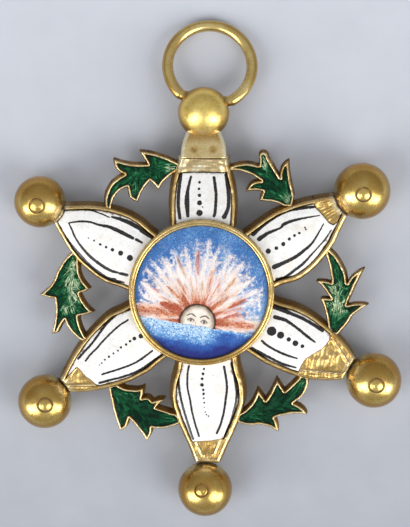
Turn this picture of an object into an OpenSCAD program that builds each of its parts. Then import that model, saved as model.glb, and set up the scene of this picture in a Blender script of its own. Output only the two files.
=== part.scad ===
// Six-armed badge of an order: gilt metal with white, green and painted enamel.
// It lies on its back on its balls. Front face +Z, suspension ring towards +Y.

/* [Medallion] */
// Radius of the outer edge of the medallion setting
setting_r = 10.2; // [9.8:0.05:10.6]
// Radius of the painted field that the setting leaves open
field_r = 9.3; // [8.8:0.05:9.5]
// Height of the setting's rim above the surface it lies on
setting_top = 6.15; // [5.9:0.05:6.5]
// How far the painted plaque crowns above its edge
plaque_crown = 0.7; // [0.3:0.05:1]

/* [Arms] */
// Height of the underside of the arms
arm_floor = 2.5; // [2:0.1:3]
// Height of the top of the arm rims
arm_top = 4.9; // [4.6:0.1:5.2]
// Width of the bright rim round each arm
arm_rim = 0.8; // [0.5:0.05:1]
// How far the white enamel crowns above its edge
arm_crown = 0.6; // [0.3:0.05:0.9]
// Width across which that crown is measured
crown_width = 8.4; // [8:0.1:10]
// Depth of the white enamel below the rim
enamel_depth = 1.0; // [0.6:0.1:1.2]
// How far the bare metal patches lie below the rim
patch_drop = 0.3; // [0.1:0.05:0.5]

/* [Leaves] */
// Height of the underside of the leaves
leaf_floor = 2.9; // [2.7:0.1:3.3]
// Height of the top of the leaf rims
leaf_top = 4.6; // [4.3:0.1:4.8]
// Width of the bright rim round each leaf
leaf_rim = 0.3; // [0.2:0.05:0.4]
// Depth of the green enamel below the rim
leaf_depth = 0.6; // [0.4:0.05:0.8]

/* [Neck] */
// Distance from the centre at which the neck starts
neck_start = 18.6; // [18.3:0.1:18.8]
// Distance from the centre at which the neck ends
neck_end = 22.4; // [22:0.1:22.8]
// Half width of the neck where it starts
neck_base = 3.25; // [3:0.05:3.4]
// Half width of the neck at the ball
neck_waist = 2.3; // [2:0.05:2.5]
// Width of the bevel along both sides of the neck
neck_bevel = 0.6; // [0.3:0.05:0.8]

/* [Balls] */
// Radius of the suspension ball
bail_ball_r = 3.6; // [3.54:0.02:3.64]
// Distance from the centre to the suspension ball
bail_ball_y = 25.1; // [25.0:0.1:25.3]
// Radius of the pegs that the balls sit on
peg_r = 0.8; // [0.6:0.05:1]
// Radius of the plug in the front of each tip ball
plug_r = 0.75; // [0.6:0.05:0.9]

/* [Suspension ring] */
// Mean radius of the ring
ring_r = 5.85; // [5.75:0.05:6]
// Radius of the ring's wire
wire_r = 0.75; // [0.7:0.05:0.8]
// Radius of the straight pin that closes the ring inside the ball
pin_r = 0.72; // [0.65:0.01:0.74]
// Half the distance between the bends where the ring meets the ball
bend_u = 3.4; // [3.35:0.05:3.5]
// Distance of the pin from the ball's centre
pin_lift = 2; // [1.9:0.05:2.05]
// Angle by which the pin slants across the ball
pin_slant = 7.5; // [6:0.5:10]

/* [Fit] */
// Gap between neighbouring pieces
gap = 0.05; // [0.03:0.01:0.08]

/* [Hidden] */
// STEPS is the number of steps along one stretch of a curve, REACH a length past any edge.
$fn = 96;
STEPS = 4;
REACH = 40;

// Tip balls: centre x, centre y and radius.
BALL_X = 0;
BALL_Y = 1;
BALL_R = 2;
BALLS = [
    [22.5, 14.15, 3.96],
    [24.3, -12.5, 3.88],
    [0.5, -28, 3.8],
    [-22.1, -15.5, 3.78],
    [-22.65, 12.65, 3.62]];

// Distances from the centre at which each arm's half widths are given.
STATIONS = [9.6, 12.2, 14.6, 17, 19.4, 21.4, 23.2];

// Arms: angle of the axis, stretch along it, half widths on its left side, on its right side.
ARM_ANGLE = 0;
ARM_STRETCH = 1;
ARM_LEFT = 2;
ARM_RIGHT = 3;
ARMS = [
    [89.2, 1, [4.55, 4.7, 4.45, 3.85, 3.2, 2.6, 2.3], [4.55, 4.7, 4.45, 3.85, 3.2, 2.6, 2.3]],
    [32.3, 1, [4.15, 4.3, 4.35, 3.9, 3.1, 2.3, 1.5], [4.8, 5.5, 5.45, 5, 4, 2.8, 1.7]],
    [-30, 1.01, [4.5, 5, 5.1, 4.8, 4.3, 3.6, 2.7], [3.75, 3.85, 3.75, 3.5, 2.75, 1.7, 0.5]],
    [-90, 1.04, [5.2, 5.95, 6.1, 5.4, 4.4, 3.5, 2.6], [3.6, 4.3, 4.45, 3.75, 2.7, 1.8, 1.1]],
    [214.6, 1.01, [4.5, 4.7, 4.5, 4, 2.95, 1.95, 0.8], [4.6, 5, 4.65, 4.05, 3.1, 2.1, 1.1]],
    [150.9, 1, [4.45, 5, 4.95, 4.45, 3.5, 2.35, 1.2], [4.45, 5, 4.95, 4.45, 3.5, 2.35, 1.2]]];

// Bare metal where the white enamel has gone: corners of each area, one list an arm.
PATCHES = [
    [[-5, 16.7], [5, 16.7], [5, 24], [-5, 24]],
    [[16.6, 13.4], [16.7, 11.8], [17.4, 10.3], [18.4, 9.5], [19.1, 10.1], [19.7, 11.2],
        [20.4, 12.2], [19.7, 14.2]],
    [[18.1, -5.4], [18.5, -7.1], [17, -8], [15.3, -8.9], [14.3, -9.6], [13.5, -11.5],
        [17, -15], [24, -13], [21, -5]],
    [[-2.4, -21.3], [4, -20.6], [4, -25.5], [-3, -25.5]],
    [[-14.5, -13.4], [-15.1, -12.8], [-17.5, -10.6], [-19.8, -12.9], [-18, -15.2]],
    []];

// Leaf outlines, anticlockwise: x, y, and how far the edge to the next corner bulges
// outwards, as a share of half its length.
CORNER_X = 0;
CORNER_Y = 1;
BULGE = 2;
LEAVES = [
    [[12.7, 11.9, 0], [13, 13.5, -0.08], [12.2, 18.4, 0.36], [11, 16, 0], [9.3, 18.8, 0.5],
        [8.5, 19.6, 0.5], [8.1, 18.7, 0], [8, 17.7, 0.2], [3.9, 17.5, 0], [3.9, 17, -0.18],
        [8.3, 15.6, 0.35], [6.2, 14, -0.17], [8.6, 14.1, 0], [8.1, 12.8, -0.12], [11.6, 12, 0]],
    [[16.9, 6.2, -0.13], [18.2, 1.3, 0.15], [16, 1.6, -0.1], [18.1, -0.9, 0.1],
        [16.7, -0.9, -0.11], [17.8, -5.7, 0], [18.7, -6.3, 0.12], [21, -3.5, -0.08],
        [23.3, -1.8, 0.14], [20.4, -1.8, -0.03], [22.7, 3.3, 0.2], [20.4, 1.3, 0.21],
        [17.7, 6.2, 0]],
    [[14.9, -11.4, 0], [14, -11.6, -0.05], [11.7, -14, 0], [10.6, -12.3, -0.06],
        [9, -15.3, 0.05], [7.9, -13.7, -0.25], [5, -17.3, 0], [4.8, -18.2, 0.2],
        [8, -18.7, -0.12], [10.8, -19.7, 0.17], [10.3, -17.8, -0.14], [14.9, -17.3, 0.19],
        [13, -15.7, 0.37]],
    [[-2.9, -17.5, 0], [-6.4, -16.3, -0.05], [-5.3, -15.2, 0.2], [-6.9, -15.4, 0.4],
        [-8.4, -15, 0.05], [-8.2, -13.5, -0.26], [-12, -13, 0], [-13.1, -13.1, 0.06],
        [-11.5, -19.6, 0.1], [-10.5, -19, -0.05], [-10.2, -17.8, -0.05],
        [-7.7, -21, 0.15], [-7, -19.2, 0.18], [-2.5, -18.3, 0]],
    [[-18, 5.8, 0.12], [-20.4, 2.6, -0.2], [-22.8, -0.4, 0.08], [-20.6, -0.9, -0.1],
        [-21.1, -5.9, 0], [-20.2, -5.7, -0.05], [-19.2, -3.9, 0.2], [-16.5, -7.1, 0],
        [-15.8, -6.9, -0.15], [-17.3, -3.4, 0.1], [-15.2, -2.8, -0.17], [-17.1, -0.2, 0.1],
        [-15.7, 0.5, -0.31], [-17, 5.4, 0]],
    [[-3, 17.9, 0.11], [-8.6, 19.7, 0], [-7.5, 17.9, -0.12], [-12.2, 18.6, 0.37],
        [-10.8, 16.5, 0.38], [-13.4, 11.5, 0], [-12.6, 11.6, -0.36], [-10.3, 14.7, 0],
        [-10, 13.3, 0.1], [-8.9, 12.6, -0.15], [-7.2, 15.6, -0.05], [-6, 14.4, -0.15],
        [-3, 17.2, 0]]];

// Heights inside the medallion and the hub below it.
hub_inset = 0.4;
hub_r = setting_r - hub_inset;
hub_top = 3.9;
setting_floor = 0.5;
setting_wall = 0.6;
lip_drop = 0.5;
shoulder_r = 0.25;
shoulder_h = 0.4;
bead_r = 0.2;
bead_h = 0.15;
plaque_r = setting_r - setting_wall - gap;
plaque_bottom = hub_top + gap + setting_floor + gap;
plaque_edge = setting_top - lip_drop - gap;

// Neck and pegs.
neck_x = 0.3;
neck_swell = 0.25;
neck_shoulder = 0.5;
peg_reach = 2.2;
peg_root = 0.25;
tip_seat = 0.5;

// How far the arm enamel's edge lies below the rim.
edge_drop = 0.1;

// Front plugs of the tip balls.
plug_groove = 0.12;
plug_depth = 0.3;
stud_r = 0.2;

// The suspension ring's pin, its cross bore, and how far the ring leans to the surface.
bail_ball = [neck_x, bail_ball_y, bail_ball_r];
pin_play = 0.08;
bore_r = pin_r + pin_play;
mouth_r = 1.2;
mouth_u = 2.8;
pin_short = 0.15;
bend_overlap = 3;
ring_h = sqrt(ring_r * ring_r - bend_u * bend_u);
bend_angle = asin(bend_u / ring_r) - bend_overlap;
ring_lean = asin((bail_ball_r - wire_r) / (ring_h + ring_r));
ring_far = bail_ball_y + pin_lift * cos(pin_slant) + ring_h * cos(pin_slant) * cos(ring_lean)
    + ring_r * sqrt(1 - pow(cos(pin_slant) * sin(ring_lean), 2)) + wire_r;

// The middle of the whole badge's outline, which is placed at the origin.
left_end = min([for (b = BALLS) b[BALL_X] - b[BALL_R]]);
right_end = max([for (b = BALLS) b[BALL_X] + b[BALL_R]]);
low_end = min([for (b = BALLS) b[BALL_Y] - b[BALL_R]]);
middle = [(left_end + right_end) / 2, (low_end + ring_far) / 2, 0];

// A point between p1 and p2 on the smooth curve through four points.
function between(p0, p1, p2, p3, t) =
    0.5 * (2 * p1 + t * (p2 - p0) + t * t * (2 * p0 - 5 * p1 + 4 * p2 - p3)
    + t * t * t * (3 * p1 - p0 - 3 * p2 + p3));

// The smooth curve through a list of points.
function smooth(p) = concat([for (i = [0:len(p) - 2], s = [0:STEPS - 1])
    between(p[max(i - 1, 0)], p[i], p[i + 1], p[min(i + 2, len(p) - 1)], s / STEPS)],
    [p[len(p) - 1]]);

// One side of an arm whose axis runs along +X: the half widths in the given column.
function arm_side(a, column, side) = smooth([for (i = [0:len(STATIONS) - 1])
    [STATIONS[i] * a[ARM_STRETCH], side * a[column][i]]]);

function reversed(p) = [for (i = [len(p) - 1:-1:0]) p[i]];

// An arm's outline along +X.
function arm_points(a) = concat(arm_side(a, ARM_RIGHT, -1), reversed(arm_side(a, ARM_LEFT, 1)));

// The points of one bulged edge from corner a to corner b, without b.
function edge_points(a, b) =
    let (p = [a[CORNER_X], a[CORNER_Y]], q = [b[CORNER_X], b[CORNER_Y]])
    let (d = q - p, out = [d[1], -d[0]] / 2 * a[BULGE])
    abs(a[BULGE]) < 0.01 ? [p] :
    [for (s = [0:STEPS]) p + d * s / (STEPS + 1)
        + out * (1 - pow(2 * s / (STEPS + 1) - 1, 2))];

function leaf_points(rows) = [for (i = [0:len(rows) - 1])
    each edge_points(rows[i], rows[(i + 1) % len(rows)])];

// The neck's outline, with both sides moved in by cut.
function neck_points(cut) =
    let (x0 = neck_base - cut, x1 = neck_waist - cut, y0 = neck_start, y1 = neck_end)
    let (side = smooth([[x0, y0], [(x0 + x1) / 2 + neck_swell, (y0 + y1) / 2], [x1, y1]]))
    concat(side, [for (p = reversed(side)) [-p[0], p[1]]]);

module placed() {
    translate(-middle) children();
}

// An arm's outline, up to a little inside its tip ball.
module arm_outline(i) {
    difference() {
        rotate(ARMS[i][ARM_ANGLE]) polygon(arm_points(ARMS[i]));
        if (i > 0) translate([BALLS[i - 1][BALL_X], BALLS[i - 1][BALL_Y]])
            circle(r = BALLS[i - 1][BALL_R] - tip_seat);
    }
}

// The tray inside an arm's rim, up to the setting and to the neck.
module arm_tray(i) {
    difference() {
        offset(delta = -arm_rim) arm_outline(i);
        circle(r = setting_r - arm_rim);
        if (i == 0) translate([-REACH / 2, neck_start]) square(REACH);
    }
}

// The part of the tray that still holds white enamel, less a margin on all sides.
module white_area(i, margin) {
    difference() {
        offset(delta = -margin) difference() {
            arm_tray(i);
            polygon(PATCHES[i]);
        }
        circle(r = setting_r + gap + margin);
    }
}

module leaf_outline(i) {
    polygon(leaf_points(LEAVES[i]));
}

module leaf_area(i, margin) {
    difference() {
        offset(delta = -leaf_rim - margin) leaf_outline(i);
        for (k = [0:5]) offset(delta = margin) arm_outline(k);
    }
}

// The neck plate below the suspension ball: full outline below, bevelled shoulder above.
module neck() {
    translate([neck_x, 0, arm_floor])
        linear_extrude(arm_top - neck_shoulder - arm_floor) polygon(neck_points(0));
    translate([neck_x, 0, arm_floor])
        linear_extrude(arm_top - arm_floor) polygon(neck_points(neck_bevel));
}

// A peg from an arm's tip towards a ball's centre.
module peg(b, extra) {
    away = norm([b[BALL_X], b[BALL_Y]]);
    inner = away - b[BALL_R] - peg_root;
    rotate(atan2(b[BALL_Y], b[BALL_X])) translate([inner, 0, b[BALL_R]]) rotate([0, 90, 0])
        cylinder(r = peg_r + extra, h = peg_root + peg_reach + extra);
}

// The whole soldered frame: hub, six arm trays, six leaf trays, neck and pegs.
module star_frame() {
    color("goldenrod") placed() {
        difference() {
            union() {
                translate([0, 0, arm_floor]) cylinder(r = hub_r, h = arm_top - arm_floor);
                for (i = [0:5]) translate([0, 0, arm_floor])
                    linear_extrude(arm_top - arm_floor) intersection() {
                        arm_outline(i);
                        if (i == 0) translate([-REACH / 2, 0]) square([REACH, neck_start]);
                    }
                for (i = [0:5]) translate([0, 0, leaf_floor])
                    linear_extrude(leaf_top - leaf_floor) leaf_outline(i);
                neck();
            }
            translate([0, 0, hub_top]) cylinder(r = setting_r + gap, h = arm_top);
            for (i = [0:5]) translate([0, 0, arm_top - patch_drop])
                linear_extrude(arm_top) arm_tray(i);
            for (i = [0:5]) translate([0, 0, arm_top - enamel_depth])
                linear_extrude(arm_top) white_area(i, 0);
            for (i = [0:5]) translate([0, 0, leaf_top - leaf_depth])
                linear_extrude(leaf_top) leaf_area(i, 0);
            for (b = concat(BALLS, [bail_ball]))
                translate([b[BALL_X], b[BALL_Y], b[BALL_R]]) sphere(r = b[BALL_R] + gap);
        }
        for (b = concat(BALLS, [bail_ball])) peg(b, 0);
    }
}

// The setting round the painted medallion: a shallow cup with a turned-in lip.
module medallion_setting() {
    low = hub_top + gap;
    color("gold") placed() rotate_extrude() polygon([
        [0, low], [setting_r, low], [setting_r, setting_top - shoulder_h],
        [setting_r - shoulder_r, setting_top], [field_r + bead_r, setting_top],
        [field_r, setting_top - bead_h], [field_r, setting_top - lip_drop],
        [setting_r - setting_wall, setting_top - lip_drop],
        [setting_r - setting_wall, low + setting_floor], [0, low + setting_floor]]);
}

module medallion_plaque() {
    inner_r = field_r - gap;
    top = [for (s = [0:STEPS * 3]) let (x = inner_r * (1 - s / (STEPS * 3)))
        [x, plaque_edge + plaque_crown * (1 - pow(x / inner_r, 2))]];
    color("steelblue") placed() rotate_extrude() polygon(concat(
        [[0, plaque_bottom], [plaque_r, plaque_bottom], [plaque_r, plaque_edge]], top));
}

// White enamel of one arm, crowned like a pillow across the arm.
module arm_enamel(i) {
    a = ARMS[i];
    shift = (max(a[ARM_LEFT]) - max(a[ARM_RIGHT])) / 2;
    low = arm_top - enamel_depth + gap;
    edge = arm_top - edge_drop;
    dome_r = (pow(crown_width / 2, 2) + arm_crown * arm_crown) / (2 * arm_crown);
    color("white") placed() intersection() {
        translate([0, 0, low]) linear_extrude(arm_top) white_area(i, gap);
        rotate(a[ARM_ANGLE]) translate([0, shift, edge + arm_crown - dome_r])
            rotate([0, 90, 0]) cylinder(r = dome_r, h = REACH);
    }
}

module leaf_enamel(i) {
    low = leaf_top - leaf_depth + gap;
    color("darkgreen") placed() translate([0, 0, low])
        linear_extrude(leaf_top - low - gap) leaf_area(i, gap);
}

// One tip ball, with its peg hole and the ring groove and stud of its front plug.
module tip_ball(b) {
    color("goldenrod") placed() difference() {
        translate([b[BALL_X], b[BALL_Y], b[BALL_R]]) sphere(r = b[BALL_R]);
        peg(b, gap);
        translate([b[BALL_X], b[BALL_Y], 2 * b[BALL_R] - plug_depth]) difference() {
            cylinder(r = plug_r, h = 2 * plug_depth);
            cylinder(r = plug_r - plug_groove, h = plug_depth - plug_groove);
            cylinder(r = stud_r, h = 2 * plug_depth);
        }
    }
}

// The line of the ring's pin, with the pin along +X.
module on_pin_line() {
    translate([bail_ball[0], bail_ball[1], bail_ball_r]) rotate(-pin_slant)
        translate([0, pin_lift, 0]) children();
}

module suspension_ball() {
    color("goldenrod") placed() difference() {
        translate([bail_ball[0], bail_ball[1], bail_ball_r]) rotate([90, 0, 0])
            sphere(r = bail_ball_r);
        peg(bail_ball, gap);
        on_pin_line() rotate([0, 90, 0]) cylinder(r = bore_r, h = REACH, center = true);
        on_pin_line() for (s = [0, 180]) rotate([0, 90, s])
            translate([0, 0, mouth_u]) cylinder(r = mouth_r, h = REACH);
    }
}

// The ring: a round wire whose hidden stretch inside the ball is a straight pin.
module suspension_ring() {
    color("goldenrod") placed() on_pin_line() rotate([-ring_lean, 0, 0]) union() {
        translate([0, ring_h, 0]) rotate(bend_angle - 90)
            rotate_extrude(angle = 360 - 2 * bend_angle) translate([ring_r, 0])
            circle(r = wire_r);
        rotate([0, 90, 0])
            cylinder(r = pin_r, h = 2 * (bend_u - pin_short), center = true);
    }
}

star_frame();
medallion_setting();
medallion_plaque();
arm_enamel(0);  // arm_enamel_top
arm_enamel(1);  // arm_enamel_upper_right
arm_enamel(2);  // arm_enamel_lower_right
arm_enamel(3);  // arm_enamel_bottom
arm_enamel(4);  // arm_enamel_lower_left
arm_enamel(5);  // arm_enamel_upper_left
leaf_enamel(0);  // leaf_enamel_north_east
leaf_enamel(1);  // leaf_enamel_east
leaf_enamel(2);  // leaf_enamel_south_east
leaf_enamel(3);  // leaf_enamel_south_west
leaf_enamel(4);  // leaf_enamel_west
leaf_enamel(5);  // leaf_enamel_north_west
tip_ball(BALLS[0]);  // ball_upper_right
tip_ball(BALLS[1]);  // ball_lower_right
tip_ball(BALLS[2]);  // ball_bottom
tip_ball(BALLS[3]);  // ball_lower_left
tip_ball(BALLS[4]);  // ball_upper_left
suspension_ball();
suspension_ring();
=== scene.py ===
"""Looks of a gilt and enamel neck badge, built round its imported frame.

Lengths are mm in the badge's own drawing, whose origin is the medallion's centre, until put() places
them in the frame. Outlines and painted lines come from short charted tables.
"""
import math

import bpy
import numpy as np
from mathutils import Matrix, Vector, geometry


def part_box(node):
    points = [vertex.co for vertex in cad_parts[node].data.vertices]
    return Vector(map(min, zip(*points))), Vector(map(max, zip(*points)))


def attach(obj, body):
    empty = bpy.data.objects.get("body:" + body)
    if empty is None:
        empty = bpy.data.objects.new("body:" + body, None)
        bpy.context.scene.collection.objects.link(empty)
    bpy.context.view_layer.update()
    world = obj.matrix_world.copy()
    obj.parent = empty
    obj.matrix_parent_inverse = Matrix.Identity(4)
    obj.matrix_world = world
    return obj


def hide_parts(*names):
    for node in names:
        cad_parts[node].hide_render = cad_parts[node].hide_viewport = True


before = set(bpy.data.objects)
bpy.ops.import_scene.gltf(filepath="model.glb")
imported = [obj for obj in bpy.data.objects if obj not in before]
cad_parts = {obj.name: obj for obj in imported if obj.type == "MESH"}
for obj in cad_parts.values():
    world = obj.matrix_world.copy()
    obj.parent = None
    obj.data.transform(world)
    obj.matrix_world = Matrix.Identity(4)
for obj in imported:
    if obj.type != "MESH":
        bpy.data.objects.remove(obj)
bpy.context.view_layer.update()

MM = 0.001
plaque_lo, plaque_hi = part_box("medallion_plaque")
CENTRE = np.array([(plaque_lo.x + plaque_hi.x) / 2, (plaque_lo.y + plaque_hi.y) / 2, 0.0])

# Tables

FAR_OUT, NO_INK = -9.0, -1.0   # values of a field far outside its area
BATCH = 20000                  # points taken at a time where all of them would fill the memory
CURVE_STEPS = 6                # straight pieces between two points of a drawn line
INK_SPREAD = 0.4               # pixels added to the thickness of a painted line
PX = 0.14                      # mm in one pixel of the photo
PX_CENTRE = (201.5, 292.3)     # the medallion's centre, in pixels

EYE = np.array([0.3, 14.0, 204.4])                             # the camera
# Tip balls: centre x, y and radius, the front plug's offset in pixels, right and up, and its radius.
BALLS = {
    "upper_right": (22.5, 14.15, 3.96, 1.6, -3.6, 1.0),
    "lower_right": (24.3, -12.5, 3.88, 3.0, -5.6, 1.03),
    "bottom": (0.5, -28.0, 3.8, -3.6, -1.6, 0.92),
    "lower_left": (-22.1, -15.5, 3.78, 0.0, -4.0, 1.0),
    "upper_left": (-22.65, 12.65, 3.62, -3.8, -4.4, 1.05),
}
BAIL, BAIL_R = np.array([0.3, 25.1, 3.6]), 3.6                 # suspension ball: centre and radius
RING_R, WIRE_R, PIN_R, BEND_U, PIN_LIFT, PIN_SLANT = 5.94, 0.79, 0.72, 3.4, 2.0, 7.5
RING_H = math.sqrt(RING_R ** 2 - BEND_U ** 2)                  # from the pin to the ring's middle

STATIONS = (9.6, 12.2, 14.6, 17, 19.4, 21.4, 23.2)
# Arms: angle, stretch, half widths at the stations on the left and on the right, the rim's width on each.
ARMS = {
    "top": (89.2, 1, (4.45, 4.55, 4.35, 3.85, 3.2, 2.6, 2.3), (4.55, 4.7, 4.45, 3.85, 3.2, 2.6, 2.3),
            0.66, 0.64),
    "upper_right": (32.3, 1, (3.85, 3.97, 4.02, 3.6, 2.9, 2.1, 1.3),
                    (5.1, 5.83, 5.7, 5.12, 4.1, 2.85, 1.7), 0.6, 0.8),
    "lower_right": (-30, 1.01, (4.2, 4.85, 5, 4.8, 4.3, 3.6, 2.7),
                    (4.05, 4.2, 4.05, 3.7, 2.95, 1.95, 0.75), 0.64, 0.64),
    "bottom": (-90, 1.04, (5.14, 5.89, 6.04, 5.34, 4.34, 3.39, 2.54),
               (3.32, 4.02, 4.17, 3.47, 2.42, 1.52, 0.82), 0.84, 0.62),
    "lower_left": (214.6, 1.01, (4.8, 5, 4.75, 4.15, 3.25, 2.2, 1), (4.4, 4.8, 4.55, 4, 3.1, 2.1, 1.1),
                   0.64, 0.6),
    "upper_left": (150.9, 1, (4.8, 5.33, 5.2, 4.63, 3.65, 2.45, 1.25),
                   (4.15, 4.64, 4.59, 4.09, 3.14, 2, 0.85), 0.54, 0.6),
}
PATCHES = {                    # bare metal where the white enamel has gone
    "top": [(-5, 16.7), (5, 16.7), (5, 24), (-5, 24)],
    "upper_right": [(15.5, 13.7), (15.8, 12.1), (16.8, 10.9), (17.8, 9.7), (18.5, 9.4), (19.2, 10.2),
                    (19.7, 11.3), (20.3, 12.5), (19.7, 14.2)],
    "lower_right": [(18.1, -5.4), (17.9, -6.7), (17, -7.9), (15.3, -8.9), (14.3, -9.6), (13.5, -11.5),
                    (17, -15), (24, -13), (21, -5)],
    "bottom": [(-2.4, -21.3), (4, -20.6), (4, -25.5), (-3, -25.5)],
    "lower_left": [(-14.5, -13.4), (-15.1, -12.8), (-17.5, -10.6), (-19.8, -12.9), (-18, -15.2)],
    "upper_left": [],
}
FLARES = {"bottom": 0.36, "top": 0.28}     # how far an arm's walls spread at the foot, if not 0.18
ARM_LEAN = (0, 0.42)                       # how far an arm's foot lies off its face
WHITE_SHADE = {"top": 0.28}                       # painted shade: how grey an arm's white enamel turns where it lies in shade, if at all
RIDGES = {                     # raised edges in the bare metal: two ends, in pixels
    "bottom": [(194.5, 440, 202.8, 457), (220.8, 438, 213.6, 456)],
    "upper_right": [(335.5, 226.5, 345, 211)],
    "lower_right": [(332, 338, 350, 365), (299, 370.5, 346, 374.5)],
    "lower_left": [(77.2, 365.5, 63.5, 382), (67, 386, 97, 385.8)],
}
# Leaf outlines: x, y and how far the edge to the next corner bulges, as a share of half its length.
LEAVES = {
    "north_east": [
        (12.7, 11.9, 0), (13, 13.5, -0.08), (12.2, 18.4, 0.36), (11, 16, 0), (9.3, 18.8, 0.5),
        (8.5, 19.6, 0.5), (8.1, 18.7, 0), (8, 17.7, 0.2), (3.9, 17.5, 0), (3.9, 17, -0.18),
        (8.3, 15.6, 0.35), (6.2, 14, -0.17), (8.6, 14.1, 0), (8.1, 12.8, -0.12), (11.6, 12, 0)],
    "east": [
        (16.9, 6.2, -0.13), (18.2, 1.3, 0.15), (16, 1.6, -0.1), (18.1, -0.9, 0.1),
        (16.7, -0.9, -0.11), (17.8, -5.7, 0), (18.7, -6.3, 0.12), (21, -3.5, -0.08),
        (23.3, -1.8, 0.14), (20.4, -1.8, -0.03), (22.7, 3.3, 0.2), (20.4, 1.3, 0.21), (17.7, 6.2, 0)],
    "south_east": [
        (14.9, -11.4, 0), (14, -11.6, -0.05), (11.7, -14, 0), (10.6, -12.3, -0.06),
        (9, -15.3, 0.05), (7.9, -13.7, -0.25), (5, -17.3, 0), (4.8, -18.2, 0.2),
        (8, -18.7, -0.12), (10.8, -19.7, 0.17), (10.3, -17.8, -0.14), (14.9, -17.3, 0.19),
        (13, -15.7, 0.37)],
    "south_west": [
        (-2.9, -17.5, 0), (-6.4, -16.3, -0.05), (-5.3, -15.2, 0.2), (-6.9, -15.4, 0.4),
        (-8.4, -15, 0.05), (-8.2, -13.5, -0.26), (-12, -13, 0), (-13.1, -13.1, 0.06),
        (-11.5, -19.6, 0.1), (-10.5, -19, -0.05), (-10.2, -17.8, -0.05),
        (-7.7, -21, 0.15), (-7, -19.2, 0.18), (-2.5, -18.3, 0)],
    "west": [
        (-18, 5.8, 0.12), (-20.4, 2.6, -0.2), (-22.8, -0.4, 0.08), (-20.6, -0.9, -0.1),
        (-21.1, -5.9, 0), (-20.2, -5.7, -0.05), (-19.2, -3.9, 0.2), (-16.5, -7.1, 0),
        (-15.8, -6.9, -0.15), (-17.3, -3.4, 0.1), (-15.2, -2.8, -0.17), (-17.1, -0.2, 0.1),
        (-15.7, 0.5, -0.31), (-17, 5.4, 0)],
    "north_west": [
        (-3, 17.9, 0.11), (-8.6, 19.7, 0), (-7.5, 17.9, -0.12), (-12.2, 18.6, 0.37),
        (-10.8, 16.5, 0.38), (-13.4, 11.5, 0), (-12.6, 11.6, -0.36), (-10.3, 14.7, 0),
        (-10, 13.3, 0.1), (-8.9, 12.6, -0.15), (-7.2, 15.6, -0.05), (-6, 14.4, -0.15), (-3, 17.2, 0)],
}
# Engraved veins under the green enamel: the midrib first, then one branch for each lobe.
VEINS = {
    "north_east": [
        [(12.4, 12.4), (11.4, 14.2), (9, 16.6), (4.2, 17.3)],
        [(12.2, 13), (10.6, 16), (8.8, 19)],
        [(12.4, 12.6), (12.2, 15.5), (12.1, 17.8)],
        [(12.2, 12.7), (9.5, 14.4), (6.5, 14.2)],
        [(12.2, 12.3), (10.3, 12.9), (8.4, 13)]],
    "east": [
        [(18.5, -5.9), (19, -3), (19, 0), (18, 3), (17.4, 6)],
        [(18.7, -4.6), (20.6, -2.8), (22.9, -1.9)],
        [(19, -2), (20, 0.5), (22.3, 3)],
        [(19, -2.4), (18, -1.2), (16.9, -1)],
        [(19, -0.4), (17.7, 0.9), (16.3, 1.5)]],
    "south_east": [
        [(5, -17.8), (8, -16.8), (11, -15.6), (14.4, -11.8)],
        [(7, -17.3), (9.3, -17.9), (10.6, -19.4)],
        [(8.5, -16.7), (11.5, -17), (14.5, -17.3)],
        [(6, -17.4), (7.4, -15.8), (7.9, -14.2)],
        [(8.6, -16.6), (10.1, -14.8), (10.6, -12.8)]],
    "south_west": [
        [(-12.6, -13.4), (-10.5, -15.4), (-7.5, -17.2), (-2.8, -17.9)],
        [(-12.4, -14), (-11.8, -16.8), (-11.3, -19.2)],
        [(-10.4, -15.6), (-8.4, -18.3), (-7.7, -20.6)],
        [(-11.9, -13.9), (-9.6, -14.6), (-8.3, -13.9)],
        [(-8.6, -16.4), (-6.9, -16), (-5.6, -15.5)]],
    "west": [
        [(-17.5, 5.4), (-18.3, 2), (-18.6, -2), (-16.3, -6.8)],
        [(-18.1, 3), (-20.2, 1), (-22.5, -0.4)],
        [(-18.5, 0), (-20.2, -2.5), (-20.9, -5.6)],
        [(-18.5, 0), (-17, -1.9), (-15.5, -2.8)],
        [(-18, 3), (-17, 1.2), (-15.9, 0.5)]],
    "north_west": [
        [(-13.1, 11.7), (-11, 15), (-8, 17), (-3.2, 17.6)],
        [(-6.2, 17.3), (-7.2, 18.5), (-8.4, 19.4)],
        [(-8.6, 16.8), (-10.4, 17.9), (-12, 18.5)],
        [(-9.4, 16.2), (-9.4, 14.3), (-9, 12.9)],
        [(-7, 17), (-6.4, 15.8), (-6.1, 14.7)]],
}
# How far each leaf's foot lies off its face, so that its outer wall shows.
LEAF_LEAN = {"north_east": (0.10, 0.34), "east": (0.30, 0.14), "south_east": (0.08, 0.34),
             "south_west": (0.20, 0.34), "west": (0.16, 0.14), "north_west": (-0.12, 0.30)}
# Where the engraved metal shows palest through the green: x, y, radius and strength.
BRIGHT = {
    "north_east": [(8.9, 18.2, 1.0, 1.9), (12.5, 12.9, 1.1, 1.6), (9.6, 15.6, 1.4, -0.3)],
    "east": [(17.3, 4.6, 0.9, 1.7), (18.9, -1.8, 1.5, 1.9), (18.6, 0.8, 1.1, 1.8)],
    "south_east": [(13.9, -12.6, 1.1, 0.4), (10.5, -15.5, 1.6, -0.7)],
    "south_west": [(-7.5, -17.2, 1.6, -0.9), (-11.7, -14.3, 1.0, 0.2)],
    "west": [(-17.9, 3.6, 1, 2.5), (-18.2, 1.2, 1.1, 2.3), (-17.6, -0.6, 0.9, 2.3), (-18.6, -2.4, 0.9, 1.6)],
    "north_west": [(-4.2, 17.4, 0.7, 2.2), (-11.8, 14.0, 1.0, 0.6), (-9.6, 14.5, 0.8, 0.8)],
}
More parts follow.
